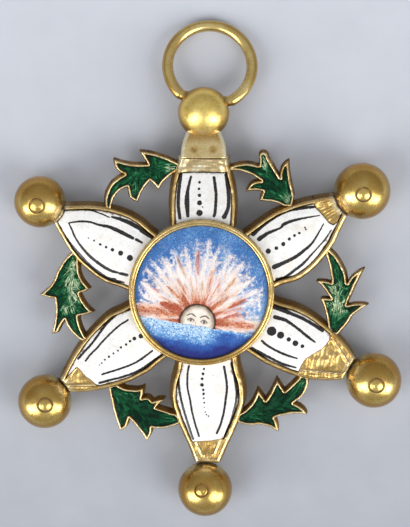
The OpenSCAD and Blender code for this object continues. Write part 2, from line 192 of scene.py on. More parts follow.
# Painted lines on the white enamel, in pixels: thickness, then points, which may give their own thickness.
STRIPES = {
    "top": [
        (3.2, [(181, 175), (179, 190), (178.4, 205), (180, 218)]),
        (3.0, [(191, 177, 2.2), (188, 190, 3), (187, 202, 4.8), (188, 216, 3)]),
        (2.8, [(214, 178), (216, 195), (215, 212), (214, 216)]),
        (3.4, [(226, 175), (228.5, 195), (228, 208), (224, 217, 4.4)])],
    "upper_left": [
        (1.2, [(70, 210), (88, 210, 1.6), (98, 212.5), (110, 217.5, 1)]),
        (3.2, [(112, 217, 1.6), (120, 219), (130, 223, 4), (139, 228, 4)]),
        (5.4, [(142, 230), (152, 236.2)]),
        (1.8, [(69, 223, 0.9), (80, 221.5), (90, 222), (100, 225, 2.2), (110, 227, 3), (120, 231.5, 3.8),
               (133, 238, 3)]),
        (2.6, [(136.5, 239.5), (142, 242.5, 2)]),
        (1.8, [(69, 223, 1), (72, 229), (76, 238), (82, 247, 2.2), (90, 256, 2.6), (98, 262.5, 2.8),
               (106, 268, 3), (112, 271, 2.6), (118, 272.5, 2)]),
        (2.8, [(120.5, 273.5), (127, 275)]),
        (2.4, [(63, 232, 1.2), (70, 243), (76, 250), (84, 259), (92, 267), (100, 273), (108, 278),
               (115, 279.5, 2.8)]),
        (2.4, [(117, 281), (124, 282.5, 1.4)])],
    "upper_right": [
        (3, [(253, 234, 4.4), (262, 226, 3.6), (275, 217), (288, 211, 2.4), (300, 208.5), (314, 207, 2.2)]),
        (3, [(259, 239, 4.4), (268, 233, 3), (280, 228, 2), (284, 224, 3), (295, 220, 2.4),
             (310, 217, 1.4), (319, 215.5, 0.8)]),
        (3, [(274, 267, 4.6), (285, 262, 3.6), (295, 257, 3.2), (303, 251, 3), (311, 244, 2.2),
             (317, 235, 1.6), (323, 224, 1)]),
        (2.6, [(277, 280, 3.4), (285, 277.3, 2.8), (295, 269.8), (302.5, 264), (310.5, 255.5, 1.8),
               (319, 246, 1.2), (324.5, 240, 1.8), (331, 230, 1)])],
    "lower_right": [
        (4.6, [(275, 306.5, 5.8), (283, 310, 4.8), (290, 313.2, 3.6)]),
        (3.2, [(292, 314), (300, 317.3), (307, 321)]),
        (3.2, [(309, 322), (315, 325.7), (322.5, 330.6, 3.4)]),
        (2.6, [(275, 317, 3.8), (285, 320, 3.2), (293, 325), (302, 332), (308, 337), (315, 342, 1.4)]),
        (2.2, [(262, 341), (268, 346), (277, 351), (286, 355), (297, 358.5, 1.4)]),
        (2.6, [(252, 349, 3.8), (262, 354, 3), (270, 358), (282, 364), (296, 368, 1.6)])],
    "lower_left": [
        (2.2, [(131, 309), (120, 312), (112.6, 318), (105, 325.8), (99, 333.8), (91, 344.5), (84, 352),
               (78, 359)]),
        (1.7, [(128, 320), (120, 325), (112, 332), (104, 340), (96, 349), (90, 355), (85.5, 361)]),
        (1.9, [(152, 351), (143, 358), (133, 364), (120, 369), (110, 372), (102, 374.5)]),
        (2.2, [(162, 355), (152, 362), (142, 369), (132, 374), (120, 378), (108, 381), (99, 383.5)])],
    "bottom": [
        (2.2, [(181, 363), (179, 372), (178.6, 385), (181, 400), (184, 412), (188, 425), (193, 440)]),
        (1.8, [(189, 366), (187.5, 374), (187.5, 388), (190, 400), (192, 412), (195, 424), (199, 437)]),
        (2.1, [(224, 367), (226, 378), (227, 388), (226, 398), (224, 412), (221, 424), (217, 434)]),
        (2.2, [(232, 364, 3.2), (233.9, 374), (235.9, 386), (236.7, 398), (234, 412), (231, 422),
               (225, 437)])],
}
DOTS = {                       # centre and radius, in pixels
    "top": [(199.5, 182.5, 1.5), (199, 189, 1.4), (199.5, 195.5, 1.8), (199.5, 203, 2.6),
            (199.5, 213, 3.2), (202.5, 207, 0.8)],
    "upper_left": [(89, 238, 0.8), (94.5, 240.5, 1.1), (100.7, 244.3, 1.4), (106.5, 247, 1.4),
                   (112.8, 249.7, 1.9), (121, 253, 2.6), (130.2, 257.8, 3.1)],
    "upper_right": [(268, 251, 2.7), (276, 248, 2), (283, 244, 2.2), (289, 239, 1.7), (294, 235.5, 1.5),
                    (299, 233, 1.4), (304.5, 227.5, 1), (305.5, 229.5, 1)],
    "lower_right": [(271.5, 331, 4.8), (280.5, 335, 3.7), (288.7, 339.3, 2.3), (295.3, 343.2, 3),
                    (302.3, 346.2, 2)],
    "lower_left": [(141, 336, 2.5), (134.5, 338.5, 2), (130.3, 341, 1.4), (126.2, 344.3, 1.3),
                   (121, 347.3, 1.3), (118, 350.5, 1.1), (113.5, 353.5, 1.1), (109, 356.6, 1.3),
                   (105, 359.7, 1.1), (101.7, 363, 1), (99.5, 365, 0.7)],
    "bottom": [(204, 369, 1.3), (203, 374, 1.6), (202.2, 379, 1.6), (202, 385, 1.9), (203.3, 390, 1.4),
               (203.6, 394, 1.4), (203.6, 398.5, 1), (204.2, 403, 1), (204.3, 407.5, 0.8),
               (205.2, 412.5, 0.9), (206.5, 415, 0.8), (208.5, 416.5, 0.9)],
}

# Small tools


def px(x, y):
    """A pixel of the photo as a point of the drawing."""
    return (x - PX_CENTRE[0]) * PX, (PX_CENTRE[1] - y) * PX


def hash01(*ints):
    """A repeatable random number from 0 to 1 for each set of whole numbers."""
    h = np.full(np.shape(ints[0]), 374761393, np.uint64)
    for k, v in enumerate(ints):
        v = np.asarray(v, np.int64).astype(np.uint64) * np.uint64(668265263 + 2 * k)
        h = (h ^ v) * np.uint64(2246822519)
        h ^= h >> np.uint64(29)
    return (h & np.uint64(0xFFFFFF)).astype(float) / 0xFFFFFF


def rough(p, size, seed):
    """Smooth random values from -1 to 1 over points p, with bumps about size wide."""
    q = p / size
    i = np.floor(q).astype(np.int64)
    f = q - i
    f = f * f * (3 - 2 * f)
    out = 0
    dims = range(p.shape[1])
    for c in range(2 ** len(dims)):
        corner = [(c >> k) & 1 for k in dims]
        w = 1
        for k in dims:
            w = w * (f[:, k] if corner[k] else 1 - f[:, k])
        out = out + w * hash01(*[i[:, k] + corner[k] for k in dims], np.full(len(p), seed))
    return out * 2 - 1


def step(x, lo, hi):
    """Eased from 0 to 1 as x goes from lo to hi."""
    t = np.clip((x - lo) / (hi - lo), 0, 1)
    return t * t * (3 - 2 * t)


def bell(x, width):
    """1 at x = 0, falling off to each side."""
    return np.exp(-(x / width) ** 2)


def curve(x, *points):
    xs, ys = zip(*points)
    return np.interp(x, xs, ys)


def unit(v):
    return np.asarray(v, float) / np.linalg.norm(v)


def circle(count):
    return np.linspace(0, 2 * math.pi, count, endpoint=False)


def smooth(points, steps):
    """The smooth curve through points, with steps to each stretch."""
    p = np.asarray(points, float)
    n = len(p)
    out = []
    for i in range(n - 1):
        a, b, c, d = p[max(i - 1, 0)], p[i], p[i + 1], p[min(i + 2, n - 1)]
        for s in range(steps):
            t = s / steps
            out.append(0.5 * (2 * b + t * (c - a) + t * t * (2 * a - 5 * b + 4 * c - d)
                              + t ** 3 * (3 * b - a - 3 * c + d)))
    out.append(p[-1])
    return np.array(out)


def segments(lines):
    """Smooth curves through the points of some lines, in short straight pieces: their starts and ends."""
    curves = [smooth(line, CURVE_STEPS) for line in lines]
    return np.concatenate([c[:-1] for c in curves]), np.concatenate([c[1:] for c in curves])


def arm_outline(name):
    """An arm's outline, run on under the setting so that only its long sides count as edges."""
    angle, stretch, left, right = ARMS[name][:4]
    along = np.array((6.0,) + STATIONS) * stretch
    lower = smooth(np.stack([along, -np.array(right[:1] + right)], 1), 8)
    upper = smooth(np.stack([along, np.array(left[:1] + left)], 1), 8)
    c, s = math.cos(math.radians(angle)), math.sin(math.radians(angle))
    return np.concatenate([lower, upper[::-1]]) @ np.array([[c, s], [-s, c]])


def leaf_outline(name):
    rows = LEAVES[name]
    out = []
    for a, b in zip(rows, rows[1:] + rows[:1]):
        p, d = np.array(a[:2]), np.array(b[:2]) - np.array(a[:2])
        side = np.array([d[1], -d[0]]) / 2 * a[2]
        n = 8 if abs(a[2]) > 0.01 else 1
        out += [p + d * s / n + side * (1 - (2 * s / n - 1) ** 2) for s in range(n)]
    return np.array(out)


def seg_dist(p, a, b):
    """Distance from each point to each segment, and how far along it the nearest place is."""
    d = b - a
    t = np.clip(((p[:, None] - a) * d).sum(2) / np.maximum((d * d).sum(1), 1e-12), 0, 1)
    return np.linalg.norm(p[:, None] - (a + t[..., None] * d), axis=2), t


def line_dist(p, a, b):
    """The same for one segment."""
    dist, t = seg_dist(p, np.array([a]), np.array([b]))
    return dist[:, 0], t[:, 0]


def away(p, x=0.0, y=0.0):
    """Distance from one place, seen from above."""
    return np.hypot(p[:, 0] - x, p[:, 1] - y)


def inside(p, poly):
    """Signed distance to a closed outline, positive inside it."""
    out = np.empty(len(p))
    a, b = poly, np.roll(poly, -1, 0)
    for k in range(0, len(p), BATCH):
        q = p[k:k + BATCH]
        dist = seg_dist(q, a, b)[0].min(1)
        up = (a[:, 1] > q[:, 1:2]) != (b[:, 1] > q[:, 1:2])
        with np.errstate(divide="ignore", invalid="ignore"):
            x = a[:, 0] + (q[:, 1:2] - a[:, 1]) * (b[:, 0] - a[:, 0]) / (b[:, 1] - a[:, 1])
        hit = (up & (q[:, :1] < x)).sum(1) % 2 == 1
        out[k:k + BATCH] = np.where(hit, dist, -dist)
    return out


def within(p, loops):
    """Which points lie in the area that closed loops bound."""
    return sum((inside(p, loop) > 0).astype(int) for loop in loops) % 2 == 1


def bounds_of(p, edge=0.5):
    """The box round points, with an edge to spare."""
    return p[:, 0].min() - edge, p[:, 1].min() - edge, p[:, 0].max() + edge, p[:, 1].max() + edge


def grid_over(x, y):
    gx, gy = np.meshgrid(x, y)
    return np.stack([gx.ravel(), gy.ravel()], 1)


def sampled(f, box, pitch, where=None):
    """A fast copy of f, read back from a grid. Where where(p) fails it is FAR_OUT."""
    xs = np.arange(box[0] - pitch, box[2] + 2 * pitch, pitch)
    ys = np.arange(box[1] - pitch, box[3] + 2 * pitch, pitch)
    g = grid_over(xs, ys)
    v = np.full(len(g), FAR_OUT)
    use = np.ones(len(g), bool) if where is None else where(g)
    v[use] = f(g[use])
    v = v.reshape(len(ys), len(xs))

    def read(p):
        i = np.clip((p[:, 0] - xs[0]) / pitch, 0, len(xs) - 1.001)
        j = np.clip((p[:, 1] - ys[0]) / pitch, 0, len(ys) - 1.001)
        a, b = i.astype(int), j.astype(int)
        i, j = i - a, j - b
        below = v[b, a] * (1 - i) + v[b, a + 1] * i
        return below * (1 - j) + (v[b + 1, a] * (1 - i) + v[b + 1, a + 1] * i) * j

    return read


# Directed crossings of a grid cell, for each way its corners can lie inside.
# Its edges are 0 bottom, 1 right, 2 top and 3 left.
CROSSINGS = {1: [(0, 3)], 2: [(1, 0)], 3: [(1, 3)], 4: [(2, 1)], 5: [(0, 3), (2, 1)], 6: [(2, 0)],
             7: [(2, 3)], 8: [(3, 2)], 9: [(0, 2)], 10: [(1, 0), (3, 2)], 11: [(1, 2)], 12: [(3, 1)],
             13: [(0, 1)], 14: [(3, 0)]}


def contours(f, box, pitch, spacing):
    """Closed loops along the edge of the area where f is positive, anticlockwise, evenly spaced."""
    xs = np.arange(box[0], box[2] + pitch, pitch)
    ys = np.arange(box[1], box[3] + pitch, pitch)
    v = f(grid_over(xs, ys)).reshape(len(ys), len(xs))
    v = np.where(np.abs(v) < 1e-9, 1e-9, v)
    s = (v > 0).astype(int)
    code = s[:-1, :-1] + 2 * s[:-1, 1:] + 4 * s[1:, 1:] + 8 * s[1:, :-1]
    following = {}
    for j, i in np.argwhere((code > 0) & (code < 15)):
        edges = [(0, j, i), (1, j, i + 1), (0, j + 1, i), (1, j, i)]
        for e0, e1 in CROSSINGS[code[j, i]]:
            following[edges[e0]] = edges[e1]

    def place(e):
        k, j, i = e
        a, b = (v[j, i], v[j, i + 1]) if k == 0 else (v[j, i], v[j + 1, i])
        t = a / (a - b)
        return (xs[i] + t * pitch, ys[j]) if k == 0 else (xs[i], ys[j] + t * pitch)

    loops = []
    while following:
        here = next(iter(following))
        loop = []
        while here in following:
            loop.append(place(here))
            here = following.pop(here)
        ring = np.array(loop + loop[:1])
        length = np.concatenate([[0], np.cumsum(np.linalg.norm(np.diff(ring, axis=0), axis=1))])
        if length[-1] < 10 * pitch:
            continue
        at = np.linspace(0, length[-1], max(int(length[-1] / spacing), 12), endpoint=False)
        p = np.stack([np.interp(at, length, ring[:, k]) for k in (0, 1)], 1)
        e = pitch / 4
        g = np.stack([f(p + (e, 0)) - f(p - (e, 0)), f(p + (0, e)) - f(p - (0, e))], 1) / (2 * e)
        p = p - np.clip(f(p), -pitch, pitch)[:, None] * g / np.maximum((g * g).sum(1), 0.5)[:, None]
        loops.append(p)
    return loops


def hex_grid(box, pitch):
    """Points in staggered rows over a box."""
    out = []
    for k, y in enumerate(np.arange(box[1], box[3], pitch * 0.866)):
        x = np.arange(box[0] + (k % 2) * pitch / 2, box[2], pitch)
        out.append(np.stack([x, np.full(len(x), y)], 1))
    return np.concatenate(out)


def loop_edges(loops):
    """The edges of closed loops whose points are numbered one loop after another."""
    edges, start = [], 0
    for n in map(len, loops):
        edges += [(start + k, start + (k + 1) % n) for k in range(n)]
        start += n
    return edges


def triangles(p, edges, margin, ids=False):
    """Delaunay triangles that keep to edges: points, anticlockwise triangles and, if asked, their origins."""
    made = geometry.delaunay_2d_cdt([Vector(q) for q in p], edges, [], 1, margin, ids)
    q = np.array([tuple(v) for v in made[0]])
    tris = np.array([t for t in made[2] if len(t) == 3])
    a, b, c = (q[tris[:, k]] for k in range(3))
    flip = (b[:, 0] - a[:, 0]) * (c[:, 1] - a[:, 1]) < (b[:, 1] - a[:, 1]) * (c[:, 0] - a[:, 0])
    tris[flip] = tris[flip][:, ::-1]
    return q, tris, made[3]


def fill(f, box, spacing, pitches, level):
    """Triangles over the area where f is positive. level(p, f(p)) tells which of the pitches serves at p."""
    loops = contours(f, box, min(spacing, 0.08), spacing)
    pts = list(loops)
    for number, pitch in enumerate(pitches):
        g = hex_grid(box, pitch)
        v = f(g)
        g, v = g[v > 0.45 * pitch], v[v > 0.45 * pitch]
        pts.append(g[level(g, v) == number])
    verts, tris, _ = triangles(np.concatenate(pts), loop_edges(loops), 1e-5)
    middles = verts[tris].mean(1)
    value = f(middles)
    keep = value > spacing
    near = np.nonzero(np.abs(value) <= spacing)[0]
    keep[near] = within(middles[near], loops)
    used, tris = np.unique(tris[keep], return_inverse=True)
    return verts[used], tris.reshape(-1, 3)


def rims(tris):
    """Closed loops of vertex numbers along the free edges, in the triangles' own direction."""
    third = {}
    for a, b, c in tris.tolist():
        third[a, b], third[b, c], third[c, a] = c, a, b
    following = {}
    for a, b in third:
        if (b, a) not in third:
            c = third[a, b]
            while (c, b) in third:                     # on round the corner, from one triangle to the next
                c = third[c, b]
            following[a, b] = b, c
    loops = []
    while following:
        here = next(iter(following))
        loop = []
        while here in following:
            loop.append(here[0])
            here = following.pop(here)
        loops.append(loop)
    return loops


def cap(loops):
    """Triangles over the area that closed loops bound, as numbers along them all, turned to face down."""
    p = np.concatenate(loops)
    q, tris, ids = triangles(p, loop_edges(loops), 1e-7, True)
    number = np.array([own[0] if own else int(np.hypot(*(p - v).T).argmin()) for own, v in zip(ids, q)])
    tris = tris[within(q[tris].mean(1), loops)][:, ::-1]
    return [t for t in number[tris].tolist() if len(set(t)) == 3]


def band(upper, lower):
    """Quads between two closed rows of vertex numbers, facing out when the rows run anticlockwise."""
    return list(zip(upper, lower, np.roll(lower, -1), np.roll(upper, -1)))


def capped(rows, count):
    """Faces of a turned solid: a pole, rows of count vertices and the other pole."""
    ring = [1 + k * count + np.arange(count) for k in range(rows)]
    last = 1 + rows * count
    faces = [(0, a, b) for a, b in zip(ring[0], np.roll(ring[0], -1))]
    for upper, lower in zip(ring, ring[1:]):
        faces += band(upper, lower)
    return faces + [(b, a, last) for a, b in zip(ring[-1], np.roll(ring[-1], -1))]


def wound(rows, count):
    """Faces of a closed tube: rows of count vertices, the last joined to the first."""
    ring = [k * count + np.arange(count) for k in range(rows)]
    return [face for upper, lower in zip(ring[1:] + ring[:1], ring) for face in band(upper, lower)]


def add(name, data):
    """A new object in the scene."""
    obj = bpy.data.objects.new(name, data)
    bpy.context.scene.collection.objects.link(obj)
    return obj


def put(name, verts, faces, material, replaces, fields, body="badge", sharp=38):
    """A finished piece from points in the drawing's mm."""
    v = np.asarray(verts, float) * MM + CENTRE
    mesh = bpy.data.meshes.new(name)
    mesh.from_pydata(v.tolist(), [], [list(map(int, q)) for q in faces])
    mesh.validate()
    for key, values in fields.items():
        mesh.attributes.new(key, "FLOAT", "POINT").data.foreach_set("value", np.asarray(values, np.float32))
    mesh.shade_smooth()
    mesh.set_sharp_from_angle(angle=math.radians(sharp))
    mesh.materials.append(material)
    mesh.update()
    obj = add(name, mesh)
    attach(obj, body)
    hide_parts(replaces)


# A wall's rows: how far down each lies, its share of the flare and lean, its share of the top edge's fields.
WALL = ((0.12, 0.35, 1), (0.4, 0.75, 1), (0.8, 1.0, 0.9), (1.0, 0.9, 0.25))


def relief(name, f, box, spacing, pitches, level, height, floor, material, replaces, fields,
           flare=0.0, lean=(0, 0)):
    """A closed solid: a modelled top where f is positive, and leaning walls down to a flat floor."""
    v2, tris = fill(f, box, spacing, pitches, level)
    z = height(v2)
    keys = {k: fn(v2) for k, fn in fields.items()}
    verts, faces = [np.column_stack([v2, z])], tris.tolist()
    count = len(v2)
    loops, feet = rims(tris), []
    for loop in loops:
        p = v2[loop]
        along = np.roll(p, -1, 0) - np.roll(p, 1, 0)
        out = np.stack([along[:, 1], -along[:, 0]], 1)
        out /= np.maximum(np.linalg.norm(out, axis=1), 1e-9)[:, None]
        above = np.array(loop)
        for t, push, share in WALL:
            verts.append(np.column_stack([p + (out * flare + lean) * push, z[loop] * (1 - t) + floor * t]))
            keys = {k: np.concatenate([v, v[loop] * share]) for k, v in keys.items()}
            here = count + np.arange(len(loop))
            count += len(loop)
            faces += band(above, here)
            above = here
        feet += above.tolist()
    faces += [[feet[k] for k in t] for t in cap([v2[loop] for loop in loops])]
    put(name, np.concatenate(verts), faces, material, replaces, keys)


def lathe(name, profile, segments, material, replaces, fields, wobble=None):
    """A turned piece about the medallion's axis. The profile runs from the top's middle out and back in."""
    p = np.asarray(profile, float)
    rr, aa = np.meshgrid(p[1:-1, 0], circle(segments), indexing="ij")
    zz = np.repeat(p[1:-1, 1][:, None], segments, 1)
    if wobble:
        rr, zz = wobble(rr, zz, aa)
    ring = np.stack([rr * np.cos(aa), rr * np.sin(aa), zz], 2).reshape(-1, 3)
    verts = np.concatenate([[[0, 0, p[0, 1]]], ring, [[0, 0, p[-1, 1]]]])
    fields = {k: fn(verts) for k, fn in fields.items()}
    put(name, verts, capped(len(p) - 2, segments), material, replaces, fields)


# Materials


class Num:
    """A number worked out in a material's nodes. Arithmetic on it adds Math nodes."""

    def __init__(self, mat, socket):
        self.mat, self.socket = mat, socket

    def __add__(self, other):
        return self.mat.math("ADD", self, other)

    def __sub__(self, other):
        return self.mat.math("SUBTRACT", self, other)

    def __mul__(self, other):
        return self.mat.math("MULTIPLY", self, other)

    def band(self, lo, hi, out_lo=0.0, out_hi=1.0, kind="SMOOTHSTEP"):
        """Goes from out_lo to out_hi as the number goes from lo to hi."""
        n = self.mat.node("MapRange", {"interpolation_type": kind}, Value=self)
        for name, value in (("From Min", lo), ("From Max", hi), ("To Min", out_lo), ("To Max", out_hi)):
            n.inputs[name].default_value = value
        return Num(self.mat, n.outputs[0])


class Mat:
    """A material under construction: short calls that add and link nodes."""

    def __init__(self, name):
        self.mat = bpy.data.materials.new(name)
        self.mat.use_nodes = True
        self.tree = self.mat.node_tree
        self.shader = self.tree.nodes["Principled BSDF"]

    def give(self, socket, value):
        value = value.socket if isinstance(value, Num) else value
        if isinstance(value, bpy.types.NodeSocket):
            self.tree.links.new(value, socket)
        else:
            socket.default_value = value

    def node(self, kind, settings=None, **inputs):
        n = self.tree.nodes.new("ShaderNode" + kind)
        for k, v in (settings or {}).items():
            setattr(n, k, v)
        for k, v in inputs.items():
            self.give(n.inputs[k], v)
        return n

    def set(self, **inputs):
        for k, v in inputs.items():
            self.give(self.shader.inputs[k.replace("_", " ")], v)

    def place(self, x=1000.0, y=None, z=None):
        """The point on the piece in mm, or in another scale."""
        m = self.node("Mapping", Vector=self.node("TexCoord").outputs["Object"])
        m.inputs["Scale"].default_value = (x, y or x, z or x)
        return m.outputs[0]

    def plane(self, x, y):
        return self.node("CombineXYZ", X=x, Y=y).outputs[0]

    def noise(self, scale, detail=3.0, rough=0.55, vector=None, distort=0.0):
        n = self.node("TexNoise", Scale=scale, Detail=detail, Roughness=rough, Distortion=distort,
                      Vector=vector or self.place())
        return Num(self, n.outputs["Fac"])

    def cells(self, scale, vector=None, feature="F1"):
        """Distance from the nearest scattered point or, with DISTANCE_TO_EDGE, from the edge between two."""
        n = self.node("TexVoronoi", {"feature": feature}, Scale=scale, Vector=vector or self.place())
        return Num(self, n.outputs["Distance"])

    def attr(self, name):
        return Num(self, self.node("Attribute", {"attribute_name": name}).outputs["Fac"])

    def math(self, op, a, b):
        n = self.node("Math", {"operation": op})
        self.give(n.inputs[0], a)
        self.give(n.inputs[1], b)
        return Num(self, n.outputs[0])

    def mix(self, fac, a, b, blend="MIX"):
        n = self.node("Mix", {"data_type": "RGBA", "blend_type": blend})
        self.give(n.inputs["Factor"], fac)
        for k, v in ((6, a), (7, b)):
            self.give(n.inputs[k], (*v, 1.0) if isinstance(v, tuple) else v)
        return n.outputs[2]

    def ramp(self, fac, *stops):
        n = self.node("ValToRGB", Fac=fac)
        marks = n.color_ramp.elements
        while len(marks) < len(stops):
            marks.new(0.5)
        for mark, (at, colour) in zip(marks, stops):
            mark.position, mark.color = at, (*colour, 1.0)
        return n.outputs[0]

    def bump(self, height, strength, distance):
        return self.node("Bump", Strength=strength, Distance=distance * MM, Height=height).outputs[0]


# Gold from its brown hollows to its pale worn places.
WORN_TONES = ((0.34, 0.185, 0.050), (0.56, 0.36, 0.115), (0.72, 0.52, 0.20), (0.86, 0.70, 0.37))
BALL_TONES = ((0.46, 0.265, 0.050), (0.63, 0.42, 0.110), (0.73, 0.54, 0.175), (0.83, 0.68, 0.32))
BAIL_TONES = ((0.56, 0.34, 0.065), (0.87, 0.60, 0.155), (0.96, 0.73, 0.225), (0.98, 0.83, 0.36))
SOFT_TONES = ((0.50, 0.31, 0.080), (0.72, 0.51, 0.165), (0.84, 0.66, 0.26), (0.92, 0.79, 0.42))
PALE_TONES = ((0.46, 0.29, 0.09), (0.68, 0.49, 0.19), (0.80, 0.62, 0.30), (0.88, 0.75, 0.46))
# Brown for real patches and painted shade, pale gold for wear and painted sheen, dark brown for dirt and
# painted shade.
BROWN_GOLD, RUBBED_AND_SHEEN_GOLD, DIRT_AND_SHADE = (0.44, 0.240, 0.050), (0.93, 0.83, 0.56), (0.060, 0.028, 0.010)


def gilt(name, polish=0.3, pits=1.0, bumps=0.45, mottle=1.0, tones=WORN_TONES):
    """Old fire-gilt silver: satin gold, browner in the hollows, with fine scratches and small pits; the
    pieces' fields add dirt, painted shade and painted sheen.
    """
    m = Mat(name)
    patches, fine, grain = m.noise(0.5, 4, 0.6), m.noise(3.6, 5, 0.62), m.noise(14, 3, 0.7)
    worn = (fine - 0.5) * (0.62 * mottle) + ((patches - 0.5) * 0.34 + 0.585)
    gold = m.ramp(worn, *zip((0.40, 0.51, 0.60, 0.72), tones))
    # Painted shade mixes in brown and painted sheen mixes in pale gold, along with real brown patches and
    # wear.
    gold = m.mix(m.attr("brown_and_shade"), gold, BROWN_GOLD)
    gold = m.mix(m.attr("wear_and_sheen"), gold, RUBBED_AND_SHEEN_GOLD)
    grime_and_shade = m.attr("grime_and_shade") + (fine * (0.9 * mottle) - 0.45 * mottle)
    specks = m.cells(2.1).band(0.07, 0.16, 1.0, 0.0) * m.noise(0.9, 2).band(0.54, 0.60) * (0.6 * pits)
    dark = m.math("MAXIMUM", grime_and_shade.band(0.30, 0.80), specks)
    scratch = m.cells(1.0, m.place(2600, 420, 900), "DISTANCE_TO_EDGE").band(0.0, 0.035, 1.0, 0.0)
    m.set(Base_Color=m.mix(dark, gold, DIRT_AND_SHADE), Metallic=dark.band(0.3, 1.0, 1.0, 0.25),
          Roughness=dark * 0.35 + fine.band(0.3, 0.7, polish - 0.05 * mottle, polish + 0.12 * mottle),
          Normal=m.bump(scratch * -0.5 + (fine * 1.6 + grain * 0.5), bumps, 0.03))
    return m.mat


def white_enamel():
    """Opaque white enamel, hand-painted in black, with faint yellow and grey stains, dirt and painted shade
    along the rim, and painted shade on a shaded arm.
    """
    m = Mat("white_enamel")
    soft, fine = m.noise(0.7, 4, 0.6), m.noise(7, 4, 0.6)
    base = m.ramp(soft, (0.30, (0.79, 0.78, 0.76)), (0.50, (0.885, 0.88, 0.875)),
                  (0.75, (0.85, 0.835, 0.80)))
    stain = m.noise(0.42, 4, 0.6, distort=0.6).band(0.49, 0.70) * 0.55
    base = m.mix(stain, base, (0.74, 0.69, 0.57))
    base = m.mix(m.noise(2.2, 4, 0.65).band(0.50, 0.70) * 0.40, base, (0.60, 0.61, 0.62))
    base = m.mix(m.noise(4.0, 3, 0.7).band(0.48, 0.68, 0.0, 0.30), base, (0.60, 0.58, 0.55))
    pits = m.cells(1.5).band(0.05, 0.12, 1.0, 0.0) * m.noise(0.8, 2).band(0.50, 0.58, 0.0, 0.6)
    base = m.mix(pits, base, (0.16, 0.12, 0.10))
    # Painted shade: the white of an arm that lies in shade is greyed.
    base = m.mix(m.attr("white_shade"), base, (0.50, 0.50, 0.50))
    # Dirt and painted shade along the rim, brown and patchy.
    clean = m.noise(1.1, 4, 0.6).band(0.50, 0.70) * -0.30
    grime_and_shade = (fine * 0.26 + m.attr("edge") + clean).band(0.10, 0.25, 0.80, 0.0)
    base = m.mix(grime_and_shade, base, (0.20, 0.145, 0.085))
    wobble = m.noise(11, 3, 0.65) * 0.16 + (m.noise(3.2, 2) * 0.12 - 0.14)
    cover = (m.attr("ink") + wobble).band(-0.012, 0.022)
    broken = m.noise(17, 3, 0.7).band(0.36, 0.44, 0.90, 1.0)
    black = m.ramp(fine, (0.35, (0.004, 0.004, 0.004)), (0.7, (0.020, 0.017, 0.016)))
    m.set(Base_Color=m.mix(cover * broken, base, black), Roughness=soft.band(0.3, 0.7, 0.20, 0.34),
          Coat_Weight=0.12, Coat_Roughness=0.10, Specular_IOR_Level=0.32,
          Normal=m.bump(m.noise(1.6, 2) + (cover * -0.15 + fine * 0.12), 0.5, 0.06))
    return m.mat


def green_enamel():
    """Transparent green enamel over engraved metal, seen as bright and dark strokes along the veins."""
    m = Mat("green_enamel")
    flow = m.plane(m.attr("across"), m.attr("along") * 0.10)
    streak, broad = m.noise(5.8, 4, 0.72, flow), m.noise(1.3, 2, 0.5, flow)
    tone = streak.band(0.32, 0.68) * 0.50 + (broad.band(0.34, 0.66) * 0.26 + m.noise(0.6, 3, 0.6) * 0.24)
    tone = tone + m.attr("bright") * streak.band(0.40, 0.60, 0.02, 0.30)
    tone = tone + m.attr("edge").band(0.0, 0.40, -0.22, 0.0)
    green = m.ramp(tone, (0.14, (0.0006, 0.006, 0.003)), (0.42, (0.001, 0.021, 0.008)),
                   (0.62, (0.003, 0.068, 0.024)), (0.82, (0.03, 0.21, 0.075)), (1.0, (0.60, 0.68, 0.44)))
    m.set(Base_Color=green, Roughness=0.30, Coat_Weight=0.03, Coat_Roughness=0.12, Specular_IOR_Level=0.10,
          Metallic=tone.band(0.85, 1.05, 0.0, 0.5),
          Normal=m.bump(streak * 0.7 + m.noise(3.0, 3), 0.5, 0.05))
    return m.mat


